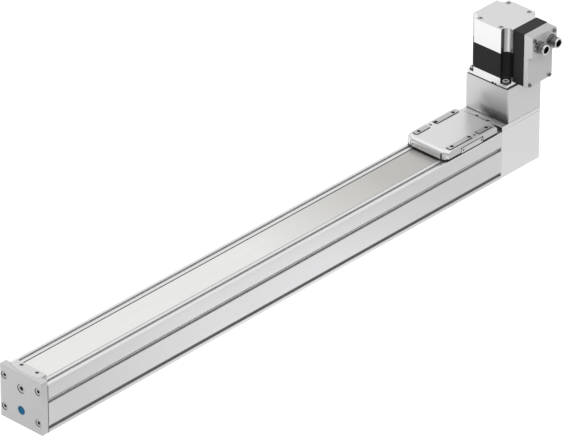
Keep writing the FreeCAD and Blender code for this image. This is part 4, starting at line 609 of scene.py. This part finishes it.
FINISHES = {
    "anodised_aluminium": extruded_aluminium(),
    # The milled table takes darker pad tops and painted shade in its gaps, seams, holes and on its sides
    "table_aluminium": painted_light_and_tones(smooth_aluminium("milled_aluminium", 0.82), TABLE_TONES_AND_PAINTED_SHADE),
    "strip_steel": stainless_band(),
    "steel": ground_steel(),
    "dark_screws": dark_steel(),
    "bearing_steel": ground_steel(),
    "black_plastic": black_plastic(),
    "black_rubber": black_rubber(),
    "belt_rubber": black_rubber(),
    "blue_plastic": blue_plastic(),
    "red_elastomer": red_elastomer(),
    "board_green": circuit_board(),
    "motor_silver": cast_silver(),
    "motor_black": black_lacquer("stator_black", 0.009),
    "cover_silver": silver_lacquer(),
    "box_black": black_lacquer("spacer_black", 0.017),
    "connector_metal": nickel(),
}
# The drive head and its top plate take painted shade in the holes and in the gap at the profile
HEAD_FINISH = painted_light_and_tones(blasted_aluminium("blasted_head", 0.85), HEAD_PAINTED_SHADE)
CAP_SCREW_FINISH = screw_steel("cap_screw_steel", 0.66, CAP_SCREW_PAINTED_SHADE)

# Pieces that look different from the rest of their kind
OWN_FINISH = {
    "drive_head": HEAD_FINISH,
    # The coupling housing takes painted shade in its seam and a painted reflection of the slide
    "coupling_housing": painted_light_and_tones(blasted_aluminium("blasted_block", 0.73), BLOCK_PAINTED_SHADE_AND_REFLECTION),
    "end_cap": painted_light_and_tones(blasted_aluminium("blasted_cap", 0.66), CAP_PAINTED_SHADE),
    "strip_clamp": blasted_aluminium("blasted_clamp", 0.74),
    "head_top_plate": HEAD_FINISH,
    "side_covers": smooth_aluminium("side_cover_aluminium", 0.70),
    "flange_screws": screw_steel("flange_screw_steel", 0.88, FLANGE_SCREW_PAINTED_SHADE),
    "end_cap_screws": CAP_SCREW_FINISH,
    "tension_screw": CAP_SCREW_FINISH,
    "cover_screws": dull_steel(),
    "motor_rear_screws": screw_steel("rear_screw_steel", 0.45, REAR_SCREW_PAINTED_SHADE),
    "strip_clamp_screws": FINISHES["dark_screws"],
}


def finish_of(node):
    """A piece's own finish, or the usual one of its kind."""
    return OWN_FINISH[node] if node in OWN_FINISH else FINISHES[SLOT_OF[node]]


for node, solid in frame["nodes"].items():
    solid.data.materials.clear()
    solid.data.materials.append(finish_of(node))

# Solids whose edges are softened, with the rounding in millimetres
SOFTENED = {
    "profile": 0.12,
    "end_cap": 0.2,
    "strip_clamp": 0.3,
    "port_plug": 0.3,
    "slide_table": 0.12,
    "side_covers": 0.12,
    "end_plates": 0.1,
    "slide_seal": 0.15,
    "drive_head": 0.5,
    "head_top_plate": 0.4,
    "coupling_housing": 0.5,
    "motor_gasket": 0.2,
    "motor_flange": 0.3,
    "motor_stator": 0.2,
    "motor_rear_housing": 0.12,
    "electronics_spacer": 0.3,
    "end_cap_screws": 0.25,
    "tension_screw": 0.3,
    "head_screws": 0.25,
    "flange_screws": 0.3,
    "motor_rear_screws": 0.25,
    "cover_screws": 0.2,
    "strip_clamp_screws": 0.15,
    "head_strip_screws": 0.15,
    "side_cover_screws": 0.1,
}
for node, width in SOFTENED.items():
    dress(softened(node, width), node, finish_of(node))


# Cover strip

def make_strip():
    """The strip lies flat from clamp to clamp, so that it looks right wherever the slide stands."""
    low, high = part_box("cover_strip")
    strip = block("flat_strip", low, Vector((high.x, high.y, low.z + STRIP_THICKNESS)))
    round_edges(strip, STRIP_EDGE_ROUND, THIN_EDGE_SEGMENTS)
    smooth(strip)
    dress(strip, "cover_strip", FINISHES["strip_steel"])


def open_for_strip(node):
    """A carriage piece with a slit where the strip runs through it."""
    low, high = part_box(node)
    strip_low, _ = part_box("cover_strip")
    piece = merged_copy(node)
    reach = Vector((SLIT_REACH, SLIT_REACH, 0))
    slit_low = Vector((low.x, low.y, strip_low.z - STRIP_ROOM)) - reach
    slit_high = Vector((high.x, high.y, strip_low.z + STRIP_THICKNESS + STRIP_ROOM)) + reach
    cut(piece, block("slit", slit_low, slit_high))
    round_edges(piece, SLIT_EDGE_ROUND, THIN_EDGE_SEGMENTS)
    smooth(piece)
    dress(piece, node, finish_of(node))


make_strip()
open_for_strip("carriage_body")
open_for_strip("strip_lifters")


# Electronics cover

def make_cover():
    """A plate with a deeper head for the connectors, rounded at its far top corner."""
    low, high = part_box("electronics_cover")
    face = high.y - COVER_PLATE
    step = high.z - COVER_HEAD_HEIGHT
    cover = block("silver_cover", Vector((low.x, face, low.z)), high)
    bpy.ops.object.mode_set(mode="EDIT")
    bpy.ops.mesh.select_all(action="SELECT")
    bpy.ops.mesh.bisect(plane_co=(0, 0, step), plane_no=(0, 0, 1))
    select_faces(cover, lambda centre, normal: normal.y < -FACING and centre.z > step)
    bpy.ops.mesh.extrude_region_move(TRANSFORM_OT_translate={"value": (0, low.y - face, 0)})
    select_edges(
        cover,
        lambda a, b: min(a.z, b.z) > high.z - TOUCHING and min(a.x, b.x) > high.x - TOUCHING,
    )
    bpy.ops.mesh.bevel(offset=COVER_CORNER, segments=COVER_CORNER_SEGMENTS, affect="EDGES")
    select_edges(
        cover,
        lambda a, b: abs(a.y - face) + abs(b.y - face) + abs(a.z - step) + abs(b.z - step) < TOUCHING,
    )
    bpy.ops.mesh.bevel(offset=COVER_FILLET, segments=COVER_FILLET_SEGMENTS, affect="EDGES")
    bpy.ops.object.mode_set(mode="OBJECT")
    round_edges(cover, COVER_EDGE_ROUND, angle=COVER_SHARP_ANGLE)
    apply_modifier(cover, "TRIANGULATE", quad_method="BEAUTY", ngon_method="BEAUTY")
    smooth(cover)
    dress(cover, "electronics_cover", FINISHES["cover_silver"])


make_cover()


# Round connectors

def thread_rings():
    """Ridges and grooves of the thread, from the collar to the mouth."""
    return [
        (radius, THREAD_START + THREAD_PITCH * (turn + share))
        for turn in range(THREAD_TURNS)
        for radius, share in THREAD_FORM
    ]


def make_connector(node):
    """Neck, rounded collar, threaded barrel and open socket."""
    low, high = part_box(node)
    rings = CONNECTOR_FOOT + thread_rings() + CONNECTOR_MOUTH
    connector = raised(node + "_threaded", rings, CONNECTOR_SIDES)
    centre = (low + high) / 2
    put(connector, (centre.x, low.y + CONNECTOR_LENGTH * MM, centre.z), (0, -1, 0))
    smooth(connector, CONNECTOR_SMOOTH_ANGLE)
    dress(connector, node, FINISHES["connector_metal"])


make_connector("power_connector")
make_connector("logic_connector")


# Studio

def level_by_ray(nodes, links, levels):
    """The brightness for each kind of ray, and zero for every other kind."""
    rays = nodes.new("ShaderNodeLightPath")
    highest = None
    for kind, level in levels.items():
        scaled = nodes.new("ShaderNodeMath")
        scaled.operation = "MULTIPLY"
        scaled.inputs[1].default_value = level
        links.new(rays.outputs[kind], scaled.inputs[0])
        if highest is None:
            highest = scaled.outputs[0]
        else:
            highest = combined(nodes, links, "MAXIMUM", highest, scaled.outputs[0])
    return highest


def slope(nodes, links, source, rows):
    """A level that goes straight from row to row of (place, level)."""
    result = None
    for (start, low), (end, high) in zip(rows, rows[1:]):
        step = nodes.new("ShaderNodeMapRange")
        step.inputs["From Min"].default_value = start
        step.inputs["From Max"].default_value = end
        step.inputs["To Min"].default_value = low if result is None else 0
        step.inputs["To Max"].default_value = high if result is None else high - low
        links.new(source, step.inputs["Value"])
        if result is None:
            result = step.outputs["Result"]
        else:
            result = combined(nodes, links, "ADD", result, step.outputs["Result"])
    return result


def mirrored_only(nodes, links, level):
    """A brightness that shows in what mirrors it, and nowhere else."""
    seen_in_gloss = level_by_ray(nodes, links, {"Is Glossy Ray": 1.0})
    return combined(nodes, links, "MULTIPLY", seen_in_gloss, level)


def make_floor():
    """A pale floor that keeps the object's shadow and shows white. Its mirrored brightness varies over it."""
    bpy.ops.object.select_all(action="DESELECT")
    bpy.ops.mesh.primitive_plane_add(size=FLOOR_SIZE, location=(0, 0, cad_low.z))
    floor = bpy.context.object
    floor.name = "floor"
    material = bpy.data.materials.new("pale_floor")
    material.use_nodes = True
    nodes = material.node_tree.nodes
    links = material.node_tree.links
    nodes.remove(nodes["Principled BSDF"])
    diffuse = nodes.new("ShaderNodeBsdfDiffuse")
    diffuse.inputs["Color"].default_value = (FLOOR_GREY, FLOOR_GREY, FLOOR_GREY, 1)
    x, y, _ = coordinates(nodes, links, "Object")
    across = slope(nodes, links, y, FLOOR_ACROSS)
    along = slope(nodes, links, x, FLOOR_ALONG)
    beside = slope(nodes, links, x, FLOOR_BESIDE)
    behind = slope(nodes, links, y, FLOOR_BEHIND)
    level = combined(nodes, links, "MULTIPLY", across, along)
    level = combined(nodes, links, "MULTIPLY", level, combined(nodes, links, "MAXIMUM", beside, behind))
    mirrored = mirrored_only(nodes, links, level)
    seen = level_by_ray(nodes, links, {"Is Camera Ray": FLOOR_GLOW})
    glow = nodes.new("ShaderNodeEmission")
    links.new(combined(nodes, links, "ADD", seen, mirrored), glow.inputs["Strength"])
    both = nodes.new("ShaderNodeAddShader")
    links.new(diffuse.outputs[0], both.inputs[0])
    links.new(glow.outputs[0], both.inputs[1])
    links.new(both.outputs[0], nodes["Material Output"].inputs["Surface"])
    floor.data.materials.append(material)


def make_sky():
    """White where it is seen, shaded where it is mirrored, and a plain pale light elsewhere."""
    world = bpy.data.worlds.new("studio")
    bpy.context.scene.world = world
    world.use_nodes = True
    nodes = world.node_tree.nodes
    links = world.node_tree.links
    light = nodes["Background"]
    light.inputs["Color"].default_value = (1, 1, 1, 1)
    x, _, z = coordinates(nodes, links, "Generated")
    level = slope(nodes, links, z, SKY_UP)
    side = slope(nodes, links, x, SKY_SIDE)
    above = slope(nodes, links, z, SKY_ABOVE)
    level = combined(nodes, links, "MULTIPLY", level, combined(nodes, links, "MAXIMUM", side, above))
    mirrored = mirrored_only(nodes, links, level)
    plain = level_by_ray(nodes, links, {
        "Is Camera Ray": 1.0, "Is Transmission Ray": 1.0, "Is Diffuse Ray": SKY_LIGHT,
    })
    links.new(combined(nodes, links, "MAXIMUM", plain, mirrored), light.inputs["Strength"])


def make_lamp(name, place, size, power):
    """A soft square lamp that faces the object and isn't mirrored in it."""
    lamp = bpy.data.lights.new(name, "AREA")
    lamp.size = size
    lamp.energy = power
    holder = bpy.data.objects.new(name, lamp)
    bpy.context.scene.collection.objects.link(holder)
    holder.location = place
    holder.visible_glossy = False
    holder.rotation_euler = (Vector(place) - (cad_low + cad_high) / 2).to_track_quat("Z", "Y").to_euler()


def make_camera():
    """Looks down along the axis from its near side at the idler end."""
    data = bpy.data.cameras.new("view")
    data.sensor_width = SENSOR
    data.lens = FOCAL_PIXELS / IMAGE_WIDTH * SENSOR
    camera = bpy.data.objects.new("view", data)
    bpy.context.scene.collection.objects.link(camera)
    back = Vector((
        math.sin(VIEW_AZIMUTH) * math.cos(VIEW_ELEVATION),
        -math.cos(VIEW_AZIMUTH) * math.cos(VIEW_ELEVATION),
        math.sin(VIEW_ELEVATION),
    ))
    camera.location = VIEW_TARGET + back * VIEW_DISTANCE
    camera.rotation_euler = back.to_track_quat("Z", "Y").to_euler()
    bpy.context.scene.camera = camera


make_floor()
make_sky()
make_lamp("key", KEY_PLACE, KEY_SIZE, KEY_POWER)
make_camera()
bpy.context.scene.view_settings.view_transform = "Standard"
